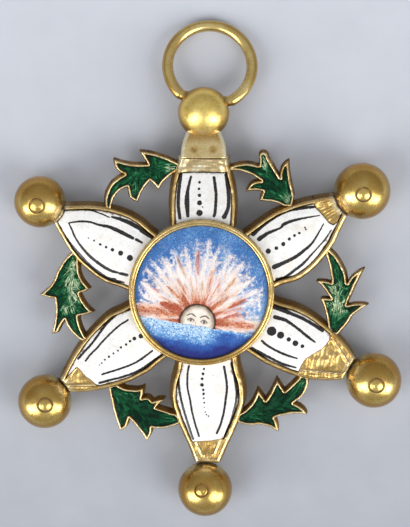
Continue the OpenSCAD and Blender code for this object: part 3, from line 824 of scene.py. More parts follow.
def painted_enamel():
    """The medallion's painting: sky, rays, sun and sea, each from its own field, with a stippled brush."""
    m = Mat("painted_enamel")
    spot, dab, dots = m.noise(3.6, 4, 0.7), m.noise(7.5, 3, 0.7), m.cells(3.1)
    lean = spot + (dab * 1.2 - 1.1)
    brush = m.plane(m.attr("turn") * 13.0, m.attr("dist") * 0.5)
    stroke, glaze = m.noise(1.0, 3, 0.6, brush) - 0.5, m.noise(1.7, 3, 0.6, brush) - 0.5
    sky = m.ramp(lean * 0.85 + m.attr("deep"), (0.0, (0.36, 0.56, 0.78)), (0.40, (0.050, 0.185, 0.475)),
                 (1.0, (0.012, 0.050, 0.24)))
    haze = dots.band(0.14, 0.42, 1.0, 0.0) * m.attr("light").band(-0.1, 0.5, 0.10, 0.75)
    sky = m.mix(haze, sky, (0.50, 0.66, 0.84))
    light = (stroke * 0.85 + (lean * 1.15 + m.attr("light"))).band(0.18, 0.86)
    cream = m.ramp(dab * 0.5 + (stroke * 0.35 + spot * 0.5), (0.34, (0.42, 0.53, 0.68)),
                   (0.45, (0.78, 0.74, 0.74)), (0.56, (0.90, 0.84, 0.80)))
    colour = m.mix(light, sky, cream)
    warm = glaze * 1.1 + (lean * 1.05 + m.attr("warm"))
    hue = m.ramp(dab * 0.5 + (stroke * 0.6 + m.attr("hue")), (0.15, (0.80, 0.36, 0.34)),
                 (0.42, (0.72, 0.17, 0.11)), (0.68, (0.80, 0.33, 0.15)), (1.05, (0.84, 0.55, 0.30)))
    colour = m.mix(warm.band(0.05, 0.80, kind="LINEAR"), colour, hue, "MULTIPLY")
    colour = m.mix(warm.band(0.55, 1.15, 0.0, 0.85), colour, (0.36, 0.065, 0.032))
    fleck = dots.band(0.18, 0.38, 1.0, 0.0) * warm.band(0.35, 0.85, 0.0, 0.85)
    colour = m.mix(fleck, colour, (0.16, 0.018, 0.018))
    depth = m.attr("depth")
    sea = m.ramp(lean * 0.60 + depth, (0.0, (0.46, 0.64, 0.78)), (0.30, (0.105, 0.285, 0.58)),
                 (0.62, (0.025, 0.10, 0.37)), (1.0, (0.012, 0.022, 0.17)))
    froth = dots.band(0.20, 0.46, 1.0, 0.0) * depth.band(0.12, 0.70, 0.85, 0.0)
    sea = m.mix(froth, sea, (0.70, 0.80, 0.86))
    pits = m.cells(2.9, m.place(990.0)).band(0.18, 0.42, 1.0, 0.0) * depth.band(0.10, 0.60, 0.95, 0.1)
    sea = m.mix(pits, sea, (0.035, 0.16, 0.46))
    colour = m.mix((lean * 0.10 + m.attr("sea")).band(-0.05, 0.05), colour, sea)
    face = m.ramp(spot * 0.5 + m.attr("shade"), (0.15, (0.84, 0.79, 0.72)), (0.6, (0.62, 0.53, 0.43)),
                  (1.1, (0.24, 0.17, 0.12)))
    colour = m.mix((lean * 0.05 + m.attr("sun")).band(-0.02, 0.05), colour, face)
    ink = (lean * 0.10 + m.attr("ink")).band(-0.03, 0.05) * 0.90
    m.set(Base_Color=m.mix(ink, colour, (0.035, 0.018, 0.012)), Roughness=0.34, Coat_Weight=0.06,
          Coat_Roughness=0.12, Specular_IOR_Level=0.25, Normal=m.bump(dab * 0.35 + spot, 0.35, 0.03))
    return m.mat


def table_top():
    """Plain pale paper-grey ground, with painted shade making it darker towards the badge's lower end."""
    m = Mat("pale_ground")
    high = m.node("SeparateXYZ", Vector=m.place(10.0)).outputs[1]
    tone = (m.noise(0.16, 4, 0.55) * 0.26 + high).band(-0.30, 0.60, kind="LINEAR")
    m.set(Base_Color=m.ramp(tone, (0.0, (0.335, 0.356, 0.40)), (1.0, (0.572, 0.598, 0.658))),
          Roughness=m.noise(0.5, 3).band(0.3, 0.7, 0.75, 0.88))
    return m.mat


GILT = gilt("gilt_metal")
GILT_ARM = gilt("gilt_arm", 0.30, 0.9, 0.25, 0.6)
GILT_BALL = gilt("gilt_ball", 0.25, 0.10, 0.03, 0.25, BALL_TONES)
GILT_BAIL = gilt("gilt_ball_pale", 0.33, 0.15, 0.05, 0.7, BAIL_TONES)
GILT_RING = gilt("gilt_ring", 0.24, 0.2, 0.03, 0.3, SOFT_TONES)
GILT_SETTING = gilt("gilt_setting", 0.25, 0.5, 0.18, 0.5)
GILT_PLATE = gilt("gilt_plate", 0.27, 0.2, 0.25, 0.35, PALE_TONES)
WHITE = white_enamel()
GREEN = green_enamel()
PAINT = painted_enamel()

# Setting and hub

SETTING_R, FIELD_R = 10.2, 9.3     # the setting's outer side, and the hole that shows the painting
FLOOR = 2.5                        # the frame's flat back
ARM_RIM, NECK_Y = 0.60, 18.6       # the rim of an arm, and where the neck plate starts

# The setting's section, from the top's middle out over the lip and its groove, down the side and back in.
BEZEL = [(0, 5.5), (9.0, 5.55), (9.30, 5.60), (9.30, 5.66), (9.31, 5.82), (9.33, 5.96), (9.37, 6.05),
         (9.44, 6.10), (9.52, 6.11), (9.62, 6.10), (9.67, 6.07), (9.70, 6.05), (9.73, 6.07), (9.78, 6.10),
         (9.86, 6.11), (9.98, 6.10), (10.07, 6.06), (10.14, 5.95), (10.18, 5.80),
         *((SETTING_R, z) for z in np.linspace(5.6, 4.3, 6)),
         (10.18, 4.05), (10.14, 3.97), (9.9, 3.95), (8.9, 3.95), (0, 3.95)]
HUB = [(0, 3.88), (5, 3.88), (10.1, 3.88), (10.24, 3.82), (10.25, 3.2), (10.25, 2.7), (10.2, 2.56),
       (10.08, 2.52), (6, 2.52), (0, 2.52)]


def bezel_wobble(r, z, a):
    p = np.stack([np.cos(a).ravel() * 10, np.sin(a).ravel() * 10, (r + z).ravel() * 0.7], 1)
    slow, quick = rough(p, 4.0, 5).reshape(r.shape), rough(p, 0.7, 6).reshape(r.shape)
    live = (r > 9.2) & (z > 4.5)
    return (r + live * (0.03 * slow + 0.012 * quick),
            z + (live & (r < 10.15)) * (0.025 * slow + 0.022 * quick))


def bezel_grime_and_shade(v):
    """Dirt in the groove and inside the lip, and painted shade down the side."""
    r = away(v)
    side = 0.55 * step(v[:, 2], 5.5, 4.5) * (r > 10.1)
    return 0.6 * bell(r - 9.64, 0.035) + 0.8 * step(r, 9.36, 9.29) + side


lathe("medallion_setting.gilt", BEZEL, 320, GILT_SETTING, "medallion_setting",
      # Painted shade browns the setting towards the badge's lower end; painted sheen pales it towards the
      # ring.
      {"grime_and_shade": bezel_grime_and_shade, "brown_and_shade": lambda v: 0.58 * step(v[:, 1], -3, -9),
       "wear_and_sheen": lambda v: 0.10 * step(v[:, 1], 3, 9)}, bezel_wobble)
lathe("star_frame.hub", HUB, 160, GILT, "star_frame",
      {"grime_and_shade": lambda v: 0.25 + 0.2 * rough(v, 3.0, 9)})

# Arms

RIM_SECTION = [(0, 4.36), (0.06, 4.56), (0.14, 4.70), (0.26, 4.81), (0.4, 4.88), (0.52, 4.90), (0.62, 4.875),
               (0.70, 4.80), (0.76, 4.66), (0.82, 4.35), (0.9, 4.15), (1.2, 4.1)]
BED_Z, WHITE_Z, WHITE_FLOOR = 4.58, 4.60, 4.0


class Arm:
    """One arm's metal and enamel, as fields over the drawing."""

    def __init__(self, name):
        self.name, self.angle = name, math.radians(ARMS[name][0])
        number = list(ARMS).index(name)
        self.seed, self.metal_seed, self.white_seed = 11 * number, 100 + 7 * number, 300 + 13 * number
        self.outline, self.patch = arm_outline(name), np.array(PATCHES[name], float)
        self.box = bounds_of(self.outline)
        self.side = sampled(self.side_at, self.box, 0.07)
        self.bare = sampled(self.bare_at, self.box, 0.09)
        self.crevice = sampled(self.crevice_at, self.box, 0.15)
        self.strokes = segments([[(*px(x, y), ((own or [thick])[0] + INK_SPREAD) * PX / 2)
                                  for x, y, *own in line] for thick, line in STRIPES[name]])
        self.dots = np.array([(*px(x, y), r * PX) for x, y, r in DOTS[name]])
        self.ink = sampled(self.ink_at, self.box, 0.05, lambda p: self.side(p) > 0.5)

    def lengthwise(self, p):
        """How far along the arm points lie, and how far to its left."""
        c, s = math.cos(self.angle), math.sin(self.angle)
        return p @ [c, s], p @ [-s, c]

    def ball_gap(self, p):
        """Distance from the tip ball's widest circle. The top arm has no tip ball."""
        if self.name not in BALLS:
            return np.full(len(p), -FAR_OUT)
        x, y, r = BALLS[self.name][:3]
        return away(p, x, y) - r

    def side_at(self, p):
        """Distance in from the long sides and from the tip ball, scaled so that the rim is ARM_RIM wide."""
        d = inside(p, self.outline) + 0.045 * rough(p, 1.7, self.seed) + 0.018 * rough(p, 0.45, self.seed + 1)
        left = step(self.lengthwise(p)[1], -1.2, 1.2)
        left_rim, right_rim = ARMS[self.name][4:]
        d = d * ARM_RIM / (left_rim * left + right_rim * (1 - left))
        return np.minimum(d, self.ball_gap(p) + 0.5)

    def bare_at(self, p):
        """Positive where the metal is bare."""
        if not len(self.patch):
            return np.full(len(p), FAR_OUT)
        ragged = 0.07 * rough(p, 0.9, self.seed + 2) + 0.04 * rough(p, 0.35, self.seed + 3)
        return inside(p, self.patch) + ragged

    def crevice_at(self, p):
        """Width of the dark gap between the rim and the enamel."""
        open_here = step(rough(p, 2.6, self.seed + 5), -0.2, 0.5)
        return 0.02 + 0.05 * (1 + rough(p, 1.3, self.seed + 4)) * open_here

    def in_dots(self, p):
        """Signed distance into the painted dots."""
        return (self.dots[:, 2] - np.hypot(p[:, :1] - self.dots[:, 0], p[:, 1:2] - self.dots[:, 1])).max(1)

    def ink_at(self, p):
        """Signed distance into the painted lines and dots."""
        a, b = self.strokes
        out = np.empty(len(p))
        for k in range(0, len(p), BATCH):
            dist, t = seg_dist(p[k:k + BATCH], a[:, :2], b[:, :2])
            out[k:k + BATCH] = (a[:, 2] + (b[:, 2] - a[:, 2]) * t - dist).max(1)
        return np.maximum(out, self.in_dots(p))

    def metal(self, p):
        """Positive over the arm's metal."""
        d = np.minimum(self.side(p), away(p) - SETTING_R)
        return np.minimum(d, NECK_Y - p[:, 1]) if self.name == "top" else d

    def hammered(self, p):
        """The uneven bare metal on which the enamel lay."""
        name, seed = self.name, self.metal_seed
        if name == "top":
            return 0.05 * rough(p * [0.5, 1.4], 0.7, seed + 1) + 0.06 * rough(p * [0.45, 1.6], 0.4, seed + 2)
        along, across = self.lengthwise(p)
        z = 0.06 * rough(p, 1.3, seed + 1) + 0.075 * rough(p * [1, 0.8], 0.55, seed + 2)
        z = z + 0.012 * rough(p, 0.22, seed + 6)
        if name in ("upper_right", "bottom"):          # engraved lines that fan out from the ball
            fan = across / (30 - along) * 10 + 0.12 * rough(p, 0.9, seed + 8)
            cuts = bell((fan * 1.9) % 1 - 0.5, 0.16) * (0.6 + 0.5 * rough(p, 0.8, seed + 9))
            z = z * 0.8 - (0.07 if name == "upper_right" else 0.02) * cuts * step(self.bare(p), 0.1, 0.4)
        elif name == "lower_right":
            z = z + 0.035 * np.sin((along + 0.35 * across) * 7.0 + 2.2 * rough(p, 1.6, seed + 5))
        return z

    def ridges(self, p, width):
        """For each raised edge in the bare metal, 1 along it and less to both sides."""
        return [bell(line_dist(p, px(x0, y0), px(x1, y1))[0], width)
                for x0, y0, x1, y1 in RIDGES.get(self.name, ())]

    def metal_z(self, p):
        d, bare = self.side(p), step(self.bare(p), -0.12, 0.12)
        z = curve(d * 0.8 / ARM_RIM, *RIM_SECTION)
        z = z + 0.032 * rough(p, 0.6, self.metal_seed) * step(d, 0.05, 0.3)
        bed = BED_Z + self.hammered(p) + 0.14 * step(d, 1.4, 0.65) + 0.22 * sum(self.ridges(p, 0.15))
        return np.where(d > 0.4, z * (1 - bare) + np.maximum(bed, 4.2) * bare, z)

    def metal_grime_and_shade(self, p):
        """Dirt and painted shade inside the rim, down its wall and by the ball; dirt in the hollows of the
        bare metal.
        """
        d, b, seed = self.side(p), self.bare(p), self.metal_seed
        g = np.maximum(0.95 * step(d, ARM_RIM - 0.12, ARM_RIM) * (b < 0), 0.62 * step(d, 0.16, 0))
        by_ball = (0.75 + 0.3 * rough(p, 0.5, seed + 7)) * np.exp(-np.maximum(self.ball_gap(p), 0) / 0.45)
        low = 0.45 * step(self.metal_z(p), 4.54, 4.36) + 0.35 * bell(b, 0.12) + 0.10 * rough(p, 0.8, seed + 3)
        return np.maximum(np.maximum(g, by_ball), np.where(b > -0.1, low, 0))

    def metal_brown_and_shade(self, p):
        """Browner in patches along the rim, with painted shade down its wall, but pale where it faces the
        ball.
        """
        d, b = self.side(p), self.bare(p)
        rim = (0.30 + 0.22 * rough(p, 1.6, self.metal_seed + 11)) * step(d, ARM_RIM + 0.2, ARM_RIM)
        brown = np.where(b > -0.1, 0.30 * step(b, -0.1, 0.1), rim) + 0.35 * step(d, 0.20, 0)
        return brown * step(self.ball_gap(p), 0.3, 1.2)

    def metal_wear_and_sheen(self, p):
        """Rubbed pale, with painted sheen, along the rim's crest, on the raised edges and by the ball."""
        d, seed = self.side(p), self.metal_seed
        crest = step(d, 0.10, 0.22) * step(d, ARM_RIM - 0.08, ARM_RIM - 0.2)
        shine = [0.16 * crest * (1 + 0.9 * rough(p, 0.9, seed + 10)), 0.6 * step(self.ball_gap(p), 1.0, 0.3)]
        if self.name == "top":
            patchy = 0.35 + 0.55 * step(rough(p * [0.8, 1.2], 0.75, seed + 12), -0.1, 0.3)
            shine.append(patchy * (self.bare(p) > 0))
        return np.max(shine + [0.7 * ridge for ridge in self.ridges(p, 0.14)], 0)

    def white_in(self, p):
        """Distance in from the enamel's long edges."""
        return self.side(p) - ARM_RIM - self.crevice(p)

    def white(self, p):
        """Positive over the white enamel."""
        d = np.minimum(self.white_in(p), away(p) - SETTING_R - 0.03)
        return np.minimum(d, -self.bare(p) - 0.05)

    def white_z(self, p):
        e, broken = np.maximum(self.white_in(p), 0), np.maximum(-self.bare(p) - 0.05, 0)
        z = WHITE_Z + 0.20 * (1 - np.exp(-e / 0.07)) + 0.56 * (1 - (1 - np.minimum(e / 4.2, 1)) ** 2)
        z = z - 0.10 * np.exp(-broken / 0.06)
        return z + 0.022 * rough(p, 2.1, self.white_seed) + 0.008 * rough(p, 0.7, self.white_seed + 1)

    def white_mesh(self, p, v):
        """Finest by the dots, then by the edges of the lines, then by the enamel's own edge."""
        plain = np.where(v < 0.35, 2, 3)
        return np.where(self.in_dots(p) > -0.12, 0, np.where(np.abs(self.ink(p)) < 0.14, 1, plain))

    def build(self):
        relief("star_frame.arm_" + self.name, self.metal, self.box, 0.09, (0.085, 0.6),
               lambda p, v: (self.side(p) >= 0.95) & (self.bare(p) <= -0.25), self.metal_z, FLOOR,
               GILT_ARM, "star_frame",
               {"grime_and_shade": self.metal_grime_and_shade, "wear_and_sheen": self.metal_wear_and_sheen, "brown_and_shade": self.metal_brown_and_shade},
               FLARES.get(self.name, 0.18), ARM_LEAN)
        relief("arm_enamel_%s.white" % self.name, self.white, self.box, 0.09, (0.045, 0.075, 0.10, 0.22),
               self.white_mesh, self.white_z, WHITE_FLOOR, WHITE, "arm_enamel_" + self.name,
               {"ink": self.ink, "edge": lambda p: np.maximum(self.white_in(p), 0),
                "white_shade": lambda p: np.full(len(p), WHITE_SHADE.get(self.name, 0.0))})


for arm in ARMS:
    Arm(arm).build()

# Leaves

LEAF_RIM, GREEN_Z, GREEN_FLOOR = 0.35, 4.36, 4.05
LEAF_SECTION = [(0, 4.24), (0.05, 4.44), (0.11, 4.55), (0.18, 4.60), (0.27, 4.59), (0.33, 4.52), (0.40, 4.22),
                (0.48, 4.05)]
ARM_OUTLINES = [arm_outline(name) for name in ARMS]


class Leaf:
    """One leaf's metal and green enamel, as fields over the drawing."""

    def __init__(self, name):
        self.name, self.seed = name, 500 + 17 * list(LEAVES).index(name)
        self.outline = leaf_outline(name)
        self.box = bounds_of(self.outline)
        self.edge = sampled(self.edge_at, self.box, 0.05)
        self.off_arms = sampled(self.off_arms_at, self.box, 0.12)
        self.veins = segments(VEINS[name])
        lengths = [np.linalg.norm(np.diff(smooth(v, CURVE_STEPS), axis=0), axis=1) for v in VEINS[name]]
        self.runs = np.concatenate([np.cumsum(n) - n for n in lengths])

    def edge_at(self, p):
        """Distance in from the leaf's uneven outline."""
        uneven = 0.045 * rough(p, 0.9, self.seed) + 0.018 * rough(p, 0.35, self.seed + 1)
        return inside(p, self.outline) + uneven

    def off_arms_at(self, p):
        """Distance out from the arms."""
        return -np.max([inside(p, arm) for arm in ARM_OUTLINES], 0)

    def metal(self, p):
        """Positive over the leaf's metal, which runs a little way into the arms beside it."""
        return np.minimum(self.edge(p), self.off_arms(p) + 0.35)

    def glaze(self, p):
        """Positive over the green enamel."""
        uneven = 0.06 * rough(p, 0.9, self.seed + 2) + 0.03 * rough(p, 0.4, self.seed + 6)
        return np.minimum(self.edge(p) - LEAF_RIM - uneven, self.off_arms(p) - 0.05)

    def metal_z(self, p):
        d = self.edge(p)
        solid = (d > 0.18) & (self.glaze(p) < -0.02) & (self.off_arms(p) < 0.1)
        z = np.where(solid, 4.56 + 0.03 * rough(p, 0.5, self.seed + 3), curve(d, *LEAF_SECTION))
        return z + 0.03 * rough(p, 0.6, self.seed + 4)

    def metal_grime_and_shade(self, p):
        # Painted shade darkens the outer wall; dirt darkens the edge of the glaze.
        wall = (0.58 + 0.15 * rough(p, 0.7, self.seed + 9)) * step(self.edge(p), 0.07, 0)
        return np.maximum(wall, 0.8 * step(self.glaze(p), -0.05, 0.03))

    def metal_brown_and_shade(self, p):
        # Painted shade browns the outer wall; brown patches elsewhere.
        return 0.75 * step(self.edge(p), 0.10, 0.01) + 0.25 * step(rough(p, 0.9, self.seed + 8), 0, 0.6)

    def metal_wear_and_sheen(self, p):
        # Rubbed pale, with painted sheen, along the rim's crest.
        return 0.34 * step(self.edge(p), 0.06, 0.14) * (1 + 0.9 * rough(p, 0.8, self.seed + 7))

    def glaze_z(self, p):
        e = np.maximum(self.glaze(p), 0)
        z = GREEN_Z + 0.12 * (1 - np.exp(-e / 0.12)) - 0.10 * step(e, 0.2, 1.2)
        return z + 0.012 * rough(p, 0.5, self.seed + 5)

    def flow(self, p):
        """Distance across the nearest vein, set apart for each stretch of it, and distance along it."""
        a, b = self.veins
        dist, t = seg_dist(p, a, b)
        k, rows = dist.argmin(1), np.arange(len(p))
        d, q = b[k] - a[k], p - a[k]
        turn = np.sign(d[:, 0] * q[:, 1] - d[:, 1] * q[:, 0])
        return turn * dist[rows, k] + k // 2, self.runs[k] + t[rows, k] * np.linalg.norm(d, axis=1)

    def bright(self, p):
        return sum(strength * bell(away(p, x, y), r) for x, y, r, strength in BRIGHT[self.name])

    def build(self):
        relief("star_frame.leaf_" + self.name, self.metal, self.box, 0.07, (0.065, 0.5),
               lambda p, v: self.edge(p) >= 0.52, self.metal_z, 2.9, GILT, "star_frame",
               {"grime_and_shade": self.metal_grime_and_shade, "brown_and_shade": self.metal_brown_and_shade, "wear_and_sheen": self.metal_wear_and_sheen}, 0.10,
               LEAF_LEAN[self.name])
        relief("leaf_enamel_%s.green" % self.name, self.glaze, self.box, 0.09, (0.10, 0.13),
               lambda p, v: v >= 0.3, self.glaze_z, GREEN_FLOOR, GREEN, "leaf_enamel_" + self.name,
               {"across": lambda p: self.flow(p)[0], "along": lambda p: self.flow(p)[1],
                "edge": lambda p: np.maximum(self.glaze(p), 0), "bright": self.bright})


for leaf in LEAVES:
    Leaf(leaf).build()

# Tip balls


def knocks(seed, out, radius, sizes, depths, dirts):
    """Nine small knocks on a ball's upper half: how deep and how dirty it is at the points that face out."""
    rng = np.random.default_rng(seed)
    deep, dirty = np.zeros(len(out)), np.zeros(len(out))
    for _ in range(9):
        knock = rng.normal(size=3)
        knock[2] = abs(knock[2])
        d = np.linalg.norm(out - unit(knock), axis=1) * radius
        size = rng.uniform(*sizes)
        deep += rng.uniform(*depths) * bell(d, size)
        dirty += rng.uniform(*dirts) * bell(d, size * 0.7)
    return deep, dirty


def seams(name, n, r, seen, across):
    """How deep and how dirty the seams are, which two of the balls show."""
    if name == "upper_right":                          # a dark seam down to its plug
        d, far = n @ (across + 0.05 * seen) * r, step(n[:, 1], 0.1, 0.4)
        return 0.02 * bell(d, 0.08) * far, 0.38 * bell(d, 0.10) * far
    if name == "upper_left":                           # the seam of its two shells
        side = n @ unit([0.955, 0.05, -0.20]) - 0.80
        return 0.05 * bell(side * r, 0.07) + 0.035 * step(side, 0, 0.03), 0.5 * bell(side * r, 0.08)
    return 0, 0


def tip_ball(name, seed):
    x, y, r, mark_x, mark_y, groove = BALLS[name]
    mx, my, g = mark_x * PX, mark_y * PX, groove / r
    seen = unit(EYE - [x, y, r])
    across = unit(np.cross([0, 1, 0], seen))
    # Rows run round the plug's axis, from the plug to the far side, and are closest at its groove.
    w = unit(across * mx + np.cross(seen, across) * my + seen * math.sqrt(r * r - mx * mx - my * my))
    u = unit(np.cross([0, 1, 0], w))
    rows = np.concatenate([np.linspace(0.03, g - 0.09, 9), np.linspace(g - 0.07, g + 0.07, 13),
                           np.linspace(g + 0.1, math.pi - 0.08, 62)])
    tt, aa = np.meshgrid(rows, circle(150), indexing="ij")
    flat = np.cos(aa)[..., None] * u + np.sin(aa)[..., None] * np.cross(w, u)
    n = (np.sin(tt)[..., None] * flat + np.cos(tt)[..., None] * w).reshape(-1, 3)
    n = np.concatenate([[w], n, [-w]])
    arc, p = np.concatenate([[0], tt.ravel(), [math.pi]]) * r, n * r

    cut, plug = bell(arc - groove, 0.135), step(arc, groove, groove - 0.1)
    lift = 0.085 * np.exp(-(arc / 0.30) ** 4) - 0.05 * cut - plug * (0.085 * (arc / groove) ** 2 + 0.02)
    lift += 0.020 * rough(p, 2.4, seed) + 0.004 * rough(p, 0.6, seed + 1)
    towards = n[:, :2] @ -unit([x, y])                 # facing the medallion
    grime_and_shade = (0.72 + 0.16 * rough(p, 0.5, seed + 4)) * cut + 0.06
    # Dirt and painted shade on the side where the ball meets the arm.
    near_arm = 0.26 * step(towards, 0.62, 0.80) + 0.4 * step(towards, 0.82, 0.94)
    grime_and_shade += near_arm * (0.7 + 0.5 * rough(p, 0.7, seed + 5))
    # Painted shade: the upper half and the sides are browner and the underside less so, over random brown;
    # the side facing the medallion stays paler.
    far = (0.4 if name == "bottom" else 0.75) * step(n[:, 1], -0.20, 0.40)
    brown_and_shade = np.maximum(step(n[:, 2], 0.80, 0.50), far) * (1 - 0.75 * step(n[:, 2], 0.15, -0.3))
    brown_and_shade += 0.20 * rough(p, 1.9, seed + 2) + 0.10 * rough(p, 0.8, seed + 3)
    brown_and_shade = np.clip(brown_and_shade + 0.5 * bell(arc - groove, 0.24) + (0.22 if name == "bottom" else 0.0), 0, 1)
    brown_and_shade *= 1 - 0.7 * step(towards, 0.55, 0.80)
    for deep, dirty in (knocks(seed, n, r, (0.10, 0.28), (0.012, 0.04), (0.1, 0.5)),
                        seams(name, n, r, seen, across)):
        lift -= deep
        grime_and_shade += dirty
    lift = np.minimum(lift, np.where(n[:, 2] < -0.8, 0, 0.012))
    # The side facing the medallion is rubbed pale, with painted sheen.
    put("ball_%s.shell" % name, [x, y, r] + n * (r + lift)[:, None], capped(len(rows), 150), GILT_BALL,
        "ball_" + name, {"grime_and_shade": grime_and_shade, "brown_and_shade": brown_and_shade, "wear_and_sheen": 0.22 * step(towards, 0.62, 0.80)},
        sharp=60)


for number, ball in enumerate(BALLS):
    tip_ball(ball, 700 + 10 * number)

# Suspension ball and ring

SLANT = math.radians(-PIN_SLANT)
PIN_U = np.array([math.cos(SLANT), math.sin(SLANT), 0.0])      # along the pin
PIN_V = np.array([-math.sin(SLANT), math.cos(SLANT), 0.0])     # away from the badge
UP = np.array([0.0, 0.0, 1.0])
BORE_R, MOUTH_R, MOUTH_U = 0.80, 1.2, 2.8                      # the mouth is the wider end of the pin's bore


def bail_rows(count):
    """Rows round the suspension ball, from inside one end of its bore over the shell into the other."""
    a, equator = circle(count), 44
    outer = np.stack([np.cos(a), np.sin(a)], 1)
    # The mouth is cut in from MOUTH_U outwards; nearer the middle only the bore breaks the shell.
    reach = math.sqrt(BAIL_R ** 2 - MOUTH_U ** 2)
    lip = -PIN_LIFT * np.cos(a) + np.sqrt(np.maximum(reach ** 2 - (PIN_LIFT * np.sin(a)) ** 2, 0))
    lip = np.clip(lip, BORE_R + 0.03, MOUTH_R)
    lip = (np.roll(lip, 1) + lip + np.roll(lip, -1)) / 3
    hole = [PIN_LIFT, 0] + lip[:, None] * outer
    rim = np.sqrt(np.clip(BAIL_R ** 2 - (hole ** 2).sum(1), 0, None))
    # Past the lip: how far out a row lies at most, how far inside the rim, and its radius.
    past = [(9, 0.04, lip - 0.008), (MOUTH_U + 0.03, 0.09, lip - 0.015),
            (MOUTH_U, 0.13, np.minimum(lip - 0.02, BORE_R + 0.08)), (MOUTH_U - 0.06, 0.2, BORE_R + 0.005),
            (1.3, 0.4, BORE_R), (0.9, 0.6, BORE_R), (0.4, 0.8, BORE_R)]
    rows, dirt = [], []
    for side in (1, -1):
        part = []
        for t in np.linspace(0, 1, equator):           # over the sphere from the equator to the hole's edge
            way = outer * (1 - t) + hole / BAIL_R * t
            size = np.linalg.norm(way, axis=1)
            drawn = np.sin(np.pi / 2 * np.clip(size, 0, 1)) * (1 - t) + size * t
            q = way * (drawn / size)[:, None]
            w = np.sqrt(np.clip(1 - (q ** 2).sum(1), 0, 1)) * (t > 0)
            part.append(np.column_stack([side * w, q]) * BAIL_R)
        for level, drop, radius in past:
            part.append(np.column_stack([side * np.minimum(level, rim - drop),
                                         PIN_LIFT + radius * np.cos(a), radius * np.sin(a)]))
        dirty = [0.0] * equator + [0.5] * 2 + [0.9] * (len(past) - 2)
        order = slice(None, None, -1) if side > 0 else slice(1, None)  # the second half has no equator row
        rows += part[order]
        dirt += dirty[order]
    return np.concatenate(rows), np.repeat(dirt, count)


def suspension_ball():
    count, seed = 160, 760
    local, grime_and_shade = bail_rows(count)
    shell = grime_and_shade == 0
    p = BAIL + local @ np.array([PIN_U, PIN_V, UP])
    out = (p - BAIL) / np.linalg.norm(p - BAIL, axis=1)[:, None]
    deep, dirty = knocks(seed, out, BAIL_R, (0.10, 0.26), (0.01, 0.035), (0.1, 0.45))
    lift = 0.016 * rough(p, 2.2, seed) + 0.004 * rough(p, 0.6, seed + 1) - deep
    lift = np.minimum(lift, np.where(out[:, 2] < -0.8, 0, 0.01)) * shell
    # Painted shade browns the ball's sides and the side facing down the badge towards the lamps; painted
    # sheen pales that side.
    brown_and_shade = 0.9 * step(out[:, 2], 0.66, 0.30) + 0.22 * rough(p, 1.7, seed + 2)
    brown_and_shade += 0.2 * step(out[:, 1], -0.72, -0.95)
    put("suspension_ball.shell", p + out * lift[:, None], wound(len(p) // count, count), GILT_BAIL,
        "suspension_ball",
        {"grime_and_shade": grime_and_shade + dirty * shell + 0.08, "brown_and_shade": np.clip(brown_and_shade, 0, 1),
         "wear_and_sheen": 0.5 * step(out[:, 1], -0.60, -0.85) * shell}, sharp=50)


def tube(path, radii, count):
    """Points of a closed tube along a closed path, and their directions away from it."""
    along = np.roll(path, -1, 0) - np.roll(path, 1, 0)
    along /= np.linalg.norm(along, axis=1)[:, None]
    first = UP - along * (along @ UP)[:, None]
    first /= np.linalg.norm(first, axis=1)[:, None]
    a = circle(count)[:, None]
    out = np.cos(a) * first[:, None] + np.sin(a) * np.cross(along, first)[:, None]
    return (path[:, None] + out * radii[:, None, None]).reshape(-1, 3), out.reshape(-1, 3)


def ring_path():
    """The ring's centre line in its own plane: the pin, a bend, the round and the other bend."""
    start = math.asin(BEND_U / RING_R) + math.radians(5)
    ang = np.linspace(start, 2 * math.pi - start, 210)
    arc = np.stack([RING_R * np.sin(ang), RING_H - RING_R * np.cos(ang)], 1)
    corner, pin_end = np.array([BEND_U - 0.02, 0.0]), np.array([BEND_U - 0.62, 0.0])
    t = np.linspace(0, 1, 12)[1:-1, None]
    bend = (1 - t) ** 2 * pin_end + 2 * t * (1 - t) * corner + t ** 2 * arc[0]
    pin = np.stack([np.linspace(-pin_end[0], pin_end[0], 16), np.zeros(16)], 1)
    return np.concatenate([pin, bend, arc, (bend * [-1, 1])[::-1]])


def suspension_ring():
    flat, count = ring_path(), 40
    lean = math.asin((BAIL_R - WIRE_R) / (RING_H + RING_R))        # its far side rests on the ground
    away_down = PIN_V * math.cos(lean) - UP * math.sin(lean)
    path = BAIL + PIN_V * PIN_LIFT + flat[:, :1] * PIN_U + flat[:, 1:] * away_down
    radii = np.where(np.abs(flat[:, 1]) < 0.15, PIN_R, WIRE_R)
    radii = (np.roll(radii, 1) + radii * 2 + np.roll(radii, -1)) / 4
    radii = radii * (1 + 0.012 * rough(path, 1.6, 31)) - 0.006
    p, out = tube(path, np.minimum(radii, WIRE_R), count)
    p = p + out * np.minimum(0.012 * rough(p, 0.8, 32), 0)[:, None]
    grime_and_shade = 0.55 * np.exp(-np.abs(np.linalg.norm(p - BAIL, axis=1) - 3.7) / 0.4) + 0.08
    from_middle = (p - BAIL - PIN_V * (PIN_LIFT + RING_H))[:, :2]
    outward = (out[:, :2] * from_middle).sum(1) / np.linalg.norm(from_middle, axis=1)
    # Painted shade browns the outer and inner sides of the wire, over random brown.
    brown_and_shade = 0.25 + 0.25 * rough(p, 2.2, 33)
    brown_and_shade += 0.45 * step(outward, 0.15, 0.75) + 0.5 * step(outward, -0.75, -0.95)
    put("suspension_ring.wire", p, wound(len(path), count), GILT_RING, "suspension_ring",
        {"grime_and_shade": grime_and_shade, "brown_and_shade": np.clip(brown_and_shade, 0, 1)}, body="ring", sharp=60)


suspension_ball()
suspension_ring()

# Neck plate

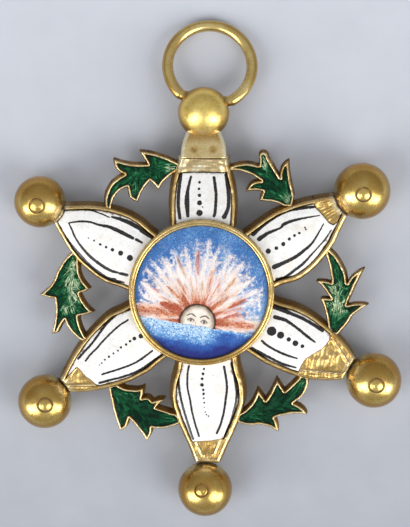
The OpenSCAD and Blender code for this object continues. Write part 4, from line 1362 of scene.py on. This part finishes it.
NECK_X, NECK_END, NECK_TOP, MARK_R = 0.3, 22.5, 22.6, 0.46
NECK_HALF = smooth([(3.25, NECK_Y), (3.025, 20.6), (2.3, NECK_TOP)], 12)    # half the plate's width going up
NECK_SECTION = [(0, 4.44), (0.05, 4.58), (0.55, 4.80), (0.66, 4.86), (0.8, 4.885), (1.2, 4.89)]
MARKS = [px(194, 150), px(213, 150)]


def neck_side(p):
    """Distance in from the plate's two long sides."""
    y = np.clip(p[:, 1], NECK_Y, NECK_TOP)
    return np.interp(y, NECK_HALF[:, 1], NECK_HALF[:, 0]) - np.abs(p[:, 0] - NECK_X)


def neck_area(p):
    return np.minimum(neck_side(p), np.minimum(p[:, 1] - NECK_Y + 0.35, NECK_END - p[:, 1]))


def off_marks(p):
    """Distance from the nearer punch mark's centre."""
    return np.minimum(*(away(p, *mark) for mark in MARKS))


def neck_z(p):
    z = curve(neck_side(p) + 0.02 * rough(p, 0.8, 41), *NECK_SECTION)
    z = z - 0.045 * bell(off_marks(p), MARK_R) * (1 + 0.8 * rough(p, 0.3, 45))
    z = z + 0.010 * rough(p, 1.0, 42) + 0.004 * rough(p, 0.35, 43)
    return z - 0.22 * step(p[:, 1], NECK_Y + 0.16, NECK_Y) - 1.2 * step(p[:, 1], NECK_Y, NECK_Y - 0.12)


def neck_grime_and_shade(p):
    film = (0.16 + 0.12 * rough(p, 1.1, 44)) * step(neck_side(p), 0.45, 0.75)
    marks = (0.40 + 0.25 * rough(p, 0.3, 45)) * np.exp(-(off_marks(p) / (MARK_R * 1.1)) ** 4)
    # Painted shadow along the seam at the plate's foot.
    foot = 1.1 * step(p[:, 1], NECK_Y + 0.22, NECK_Y + 0.06)
    return np.max([film, marks, foot, 0.4 * step(neck_side(p), 0.04, 0)], 0)


def neck_brown_and_shade(p):
    """Painted shadow under the ball, and browner in the dimples."""
    marks = np.exp(-(off_marks(p) / (MARK_R * 1.2)) ** 4)
    return 0.75 * np.maximum(step(p[:, 1], 20.6, 21.7), marks) * step(neck_side(p), 0.3, 0.7)


NECK_BOX = bounds_of(np.array([[NECK_X - 3.25, NECK_Y], [NECK_X + 3.25, NECK_TOP]]))
relief("star_frame.neck", neck_area, NECK_BOX, 0.08, (0.08,), lambda p, v: 0 * v, neck_z, FLOOR + 0.03,
       GILT_PLATE, "star_frame",
       # Painted highlight along the plate's bevelled sides.
       {"grime_and_shade": neck_grime_and_shade, "brown_and_shade": neck_brown_and_shade, "wear_and_sheen": lambda p: 0.95 * step(neck_side(p), 0.66, 0.40)},
       flare=0.05)

# Painted plaque

SUN_PX = (197.3, 321.5)
SUN, SUN_R = np.array(px(*SUN_PX)), 17.6 * PX
HORIZON_X, HORIZON_Y, HORIZON_SLOPE = -0.77, -4.58, 0.1636     # a point of the horizon, and its fall
PAINT_R, PAINT_Z, PAINT_EDGE = FIELD_R - 0.05, 5.60, 560       # PAINT_EDGE points run round the painting
RAYS = [                       # tip in pixels and the half width at the tip
    (197.2, 239.5, 3.4), (208.6, 241, 3.0), (185.1, 245.5, 3.2), (218.4, 248, 3.0), (174.0, 250.5, 3.2),
    (231.5, 254, 3.6), (243.5, 262.5, 3.4), (162.5, 257, 3.0), (154.0, 262.5, 2.6), (146.4, 268, 3.0),
    (141.0, 282, 3.2), (254.6, 277.5, 3.4), (256.0, 290, 3.2), (253.5, 302.5, 3.2), (140.0, 294.5, 3.0),
    (139.5, 304.5, 2.6), (250.5, 270, 2.6), (237.5, 257.5, 2.2),
]
STREAKS = [                    # two ends in pixels, width in pixels, strength and hue from pink 0 to ochre 1
    (197.8, 250.5, 197.8, 273.5, 3.8, 0.66, 0.2), (177.2, 257, 186, 278, 2.6, 0.55, 0.65),
    (211.8, 271, 209.4, 290.5, 3.4, 0.7, 0.35), (235, 277.5, 225.1, 290.5, 3.4, 0.8, 0.75),
    (219.9, 278.5, 217.6, 291, 3.0, 0.55, 0.15), (151, 285, 158.8, 291.5, 2.6, 0.55, 0.1),
    (168, 286, 182, 300.2, 3.4, 0.85, 0.5), (177.7, 278.5, 185.3, 293, 2.8, 0.75, 0.5),
    (191, 282, 194.9, 298, 2.8, 0.7, 0.8), (202.2, 282, 200.3, 298, 2.8, 0.7, 0.9),
    (245, 299.2, 228.5, 307, 4.4, 0.95, 0.35), (237.5, 312.8, 223.5, 318, 3.6, 0.8, 0.3),
    (164, 301.8, 183, 306, 4.4, 1.0, 0.45), (208, 283, 205.5, 298, 2.4, 0.6, 0.6),
    (160, 296, 175, 303, 2.6, 0.6, 0.4), (184.5, 283, 190, 298, 2.4, 0.6, 0.6),
    (228, 296, 218, 306, 2.8, 0.7, 0.5), (238, 290, 226, 300, 2.4, 0.5, 0.5),
    (130, 307.5, 181, 313.5, 10.5, 0.88, 0.45), (162, 303, 181, 309, 5.6, 1.6, 0.35),
    (213, 320.5, 252, 326.5, 9.5, 0.85, 0.4), (232, 321, 280, 331, 14, 0.40, 0.9),
    (216, 314, 240, 308, 5.4, 0.6, 0.3), (222, 319, 246, 314, 5, 0.6, 0.25),
]
FACE_LINES = [                 # right brow, upper and lower lid in radii of the sun, and their widths
    ([(0.62, 0.30), (0.40, 0.42), (0.14, 0.30)], 0.040),
    ([(0.56, 0.05), (0.38, 0.17), (0.18, 0.06)], 0.034),
    ([(0.52, 0.02), (0.38, -0.04), (0.22, 0.02)], 0.018),
]
NOSE = [(-0.08, 0.05), (-0.10, -0.12), (-0.05, -0.2)]


class Painting:
    """The fields of the painting at the points p, for its material to colour."""

    def __init__(self, p):
        self.p, self.x, self.r = p, p[:, 0], away(p)
        self.from_sun = p - SUN
        self.dist = np.linalg.norm(self.from_sun, axis=1)
        self.turn = np.arctan2(self.from_sun[:, 0], self.from_sun[:, 1])
        self.wobble = rough(p, 0.7, 52) * 0.15 + rough(p, 0.28, 53) * 0.08
        self.sea = HORIZON_Y - HORIZON_SLOPE * (self.x - HORIZON_X) - p[:, 1] + 0.10 * rough(p, 0.8, 56)
        self.light = np.zeros(len(p))
        self.warm, self.hue = np.zeros(len(p)), np.full(len(p), 0.4)

    def spokes(self, count, stretch, seed):
        """Random values from -1 to 1, drawn out along the rays."""
        return rough(np.stack([self.turn * count, self.dist * stretch], 1), 1.0, seed)

    def lay(self, strength, hue):
        """Lays a warm colour where it is stronger than what is there."""
        self.hue = np.where(strength > self.warm, hue, self.hue)
        self.warm = np.maximum(self.warm, strength)

    def shine(self):
        """Light: full near the sun, broken into ray tips further out."""
        reach, out = np.zeros(len(self.p)), self.dist / PX
        for x, y, half in RAYS:
            line, t = line_dist(self.p, SUN, px(x, y))
            taper = np.minimum(1.35 * np.sqrt(np.clip(1 - t, 0, 1)) + 0.12, 1.05)
            width = half * PX * taper * (0.6 + 0.55 * t)
            reach = np.maximum(reach, np.clip(0.5 + (width - line) / 0.95, 0, 0.95) * step(t, 0.25, 0.5))
        body = step(out + 16 * self.spokes(6.0, 0.3, 61), 74, 36)
        light = 1 - (1 - reach * 0.9) * (1 - 0.92 * body) + 0.8 * self.wobble
        light = np.maximum(light, 0.58 * step(np.abs(out - 60), 30, 0) * (0.7 + rough(self.p, 0.35, 62)))
        self.light = light - 0.5 * step(self.r, 8.5, 9.2)

    def warm_up(self):
        """The warm colours: charted streaks, a thin spine in each ray, then flames and glow round the sun."""
        for x0, y0, x1, y1, width, strength, hue in STREAKS:
            line, t = line_dist(self.p, px(x0, y0), px(x1, y1))
            taper = np.sqrt(np.clip(1 - (2 * t - 1) ** 2 * 0.75, 0, 1))
            value = strength * 0.95 * bell(line, width * PX * 0.62 * taper + 0.05)
            self.lay(value, hue)
            if width > 8:                              # the pale bands at the horizon cover the sky
                self.light = np.maximum(self.light, 1.1 * step(value, 0.1, 0.45))
        rng = np.random.default_rng(63)
        for x, y, _ in RAYS:
            ray = np.array(px(x, y)) - SUN
            for _ in range(2):
                lo, hi = rng.uniform(0.28, 0.42), rng.uniform(0.5, 0.78)
                off = rng.uniform(-2.2, 2.2, 2) * PX
                line, t = line_dist(self.p, SUN + ray * lo + off * 0.6, SUN + ray * hi + off)
                value = rng.uniform(0.25, 0.62) * np.clip(1.2 - line / (0.16 * (1.25 - t)), 0, 1)
                self.lay(value, rng.uniform(0.1, 0.95))
        out, flames = self.dist / PX, self.spokes(6.0, 0.25, 54)
        halo = np.exp(-np.maximum(self.dist - SUN_R, 0) / (1.15 + 0.75 * (flames + 1)))
        self.lay(np.clip(halo * (1.15 + 0.8 * flames), 0, 1.5), 0.42 + 0.3 * flames)
        self.lay((0.20 + 0.16 * self.spokes(7.0, 0.2, 66)) * step(out, 58, 26), 0.85)
        self.lay(0.48 * np.clip(self.spokes(9.0, 0.16, 55), 0, 1) * step(out, 56, 38), 0.55)
        self.warm = self.warm + 0.25 * self.wobble

    def water(self):
        """How deep a blue the sea is and how deep a blue the sky is."""
        p, below = self.p, np.maximum(self.sea, 0)
        right = step(self.x + 0.6 * rough(p, 1.2, 64), 0.6, 3.0)
        depth = 0.02 + 0.12 * below + 0.50 * right * step(below, -0.1, 0.6)
        depth = depth + 0.36 * step(below + 0.35 * rough(p, 1.4, 57), 2.1, 3.1) + 0.20 * step(below, 3.0, 4.2)
        depth = depth + 0.10 * rough(p, 0.7, 65) + 0.15 * step(self.r, 8.2, 9.2) * step(below, 0.3, 1.5)
        pale = step(self.x, 5.0, 8.0) * step(p[:, 1], 3.0, -3.0)
        return depth, 0.44 + 0.22 * step(self.x, -3.5, -7.5) - 0.22 * pale + 0.12 * rough(p, 1.6, 58)

    def face(self):
        """The sun's own face, a plain calm drawing tilted with the horizon: its lines and its shade."""
        p, above = self.p, -self.sea
        c, s = math.cos(-math.atan(HORIZON_SLOPE)), math.sin(-math.atan(HORIZON_SLOPE))
        q = (self.from_sun @ np.array([[c, -s], [s, c]])) / SUN_R

        def pen(points, width):
            line = smooth(points, 8)
            return (width - seg_dist(q, line[:-1], line[1:])[0].min(1)) * SUN_R

        marks = [pen(NOSE, 0.016)]
        for side in (-1, 1):
            for line, width in FACE_LINES:
                marks.append(pen([(side * x, y) for x, y in line], width))
            marks.append((0.075 - away(q, side * 0.38, 0.06)) * SUN_R)     # pupil
        marks = np.where(above > 0, np.maximum(np.max(marks, 0), NO_INK), NO_INK)
        outline = 0.15 - np.abs(self.dist - SUN_R - 0.02) + 0.05 * rough(p, 0.5, 59)
        ink = np.where(above > -0.05, np.maximum(marks, outline), NO_INK)
        # A thin dark line runs along the horizon on the right.
        thin = 0.03 - np.abs(above - 0.02) * 0.8 + 0.03 * rough(p, 0.6, 67)
        ink = np.maximum(ink, np.where((self.x > 1.5) & (self.x < 7.2), thin, NO_INK))
        eyes = bell(np.hypot(np.abs(q[:, 0]) - 0.38, q[:, 1] - 0.12), 0.24)
        return ink, 0.75 * step(self.dist / SUN_R, 0.60, 1.0) + 0.20 * eyes + 0.12 * rough(p, 0.5, 60)

    def fields(self):
        self.shine()
        self.warm_up()
        depth, deep = self.water()
        ink, shade = self.face()
        return {"light": self.light, "warm": self.warm, "hue": self.hue, "sea": self.sea, "depth": depth,
                "deep": deep, "sun": np.minimum(SUN_R - self.dist, -self.sea), "ink": ink, "shade": shade,
                "turn": self.turn, "dist": self.dist}


def plaque():
    """The domed painting, with a plain side and back down into the setting."""
    a = circle(PAINT_EDGE)
    edge = PAINT_R * np.stack([np.cos(a), np.sin(a)], 1)
    grid = hex_grid((-PAINT_R, -PAINT_R, PAINT_R, PAINT_R), 0.105)
    p = np.concatenate([edge, grid[away(grid) < PAINT_R - 0.06]])
    p, tris, _ = triangles(p, loop_edges([edge]), 1e-5)         # the edge's points stay the first ones
    z = PAINT_Z + 0.7 * (1 - (away(p) / PAINT_R) ** 2) + 0.01 * rough(p, 1.5, 51)
    verts, faces, above = [np.column_stack([p, z])], tris.tolist(), np.arange(PAINT_EDGE)
    for row, (level, r) in enumerate(((5.45, PAINT_R), (4.9, 9.5), (4.55, 9.5))):
        verts.append(np.column_stack([r * np.cos(a), r * np.sin(a), np.full(PAINT_EDGE, level)]))
        below = len(p) + row * PAINT_EDGE + np.arange(PAINT_EDGE)
        faces += band(above, below)
        above = below
    verts = np.concatenate(verts)
    fields = {k: np.pad(v, (0, len(verts) - len(p))) for k, v in Painting(p).fields().items()}
    put("medallion_plaque.painting", verts, faces + [above[::-1]], PAINT, "medallion_plaque",
        fields)


plaque()

# Ground, light and camera


def at(x, y, z):
    """A place in the drawing's mm as a place in the frame."""
    return Vector(CENTRE + np.array([x, y, z]) * MM)


def lamp(name, place, size, power, colour):
    data = bpy.data.lights.new(name, "AREA")
    data.shape, data.energy, data.color = "RECTANGLE", power, colour
    data.size, data.size_y = size
    obj = add(name, data)
    obj.location = at(*place)
    obj.rotation_euler = (at(0, 2, 3) - obj.location).to_track_quat("-Z", "Y").to_euler()


def studio():
    """A plain studio: pale overhead, dim near the horizon and dimmest beyond the ring."""
    world = bpy.data.worlds.new("studio")
    world.use_nodes = True
    tree, background = world.node_tree, world.node_tree.nodes["Background"]
    coords = tree.nodes.new("ShaderNodeTexCoord")
    high = tree.nodes.new("ShaderNodeVectorMath")
    shades = tree.nodes.new("ShaderNodeValToRGB")
    high.operation = "DOT_PRODUCT"
    high.inputs[1].default_value = (0, -0.08, 0.997)
    for mark, at_height, colour in zip(shades.color_ramp.elements, (0.0, 0.95), STUDIO_TONES):
        mark.position, mark.color = at_height, colour
    tree.links.new(coords.outputs["Generated"], high.inputs[0])
    tree.links.new(high.outputs["Value"], shades.inputs[0])
    tree.links.new(shades.outputs[0], background.inputs["Color"])
    background.inputs["Strength"].default_value = 0.93
    bpy.context.scene.world = world


def look(eye, target, lens):
    """The camera at eye, level with the badge's width."""
    camera = add("camera", bpy.data.cameras.new("camera"))
    camera.location = eye
    back = (eye - target).normalized()
    right = Vector((0, 1, 0)).cross(back).normalized()
    camera.rotation_euler = Matrix((right, back.cross(right), back)).transposed().to_euler()
    camera.data.lens = lens
    bpy.context.scene.camera = camera


STUDIO_TONES = (0.36, 0.35, 0.345, 1), (0.62, 0.64, 0.68, 1)   # low and overhead
WARM, WARMER = (1.0, 0.99, 0.97), (1.0, 0.985, 0.95)

ground = bpy.data.meshes.new("ground")
ground.from_pydata([(-0.6, -0.6, 0), (0.6, -0.6, 0), (0.6, 0.6, 0), (-0.6, 0.6, 0)], [], [(0, 1, 2, 3)])
ground.materials.append(table_top())
add("ground", ground)

lamp("key left", (-262, -190, 300), (0.26, 0.26), 0.94, WARM)
lamp("key right", (262, -190, 300), (0.26, 0.26), 0.92, WARM)
lamp("low left", (-310, -165, 125), (0.15, 0.10), 0.36, WARMER)
lamp("low right", (310, -170, 125), (0.15, 0.10), 0.35, WARMER)
studio()
look(at(*EYE), at(0.49, 4.03, 4.9), 97.6)
bpy.context.scene.view_settings.view_transform = "Standard"

bpy.context.view_layer.update()
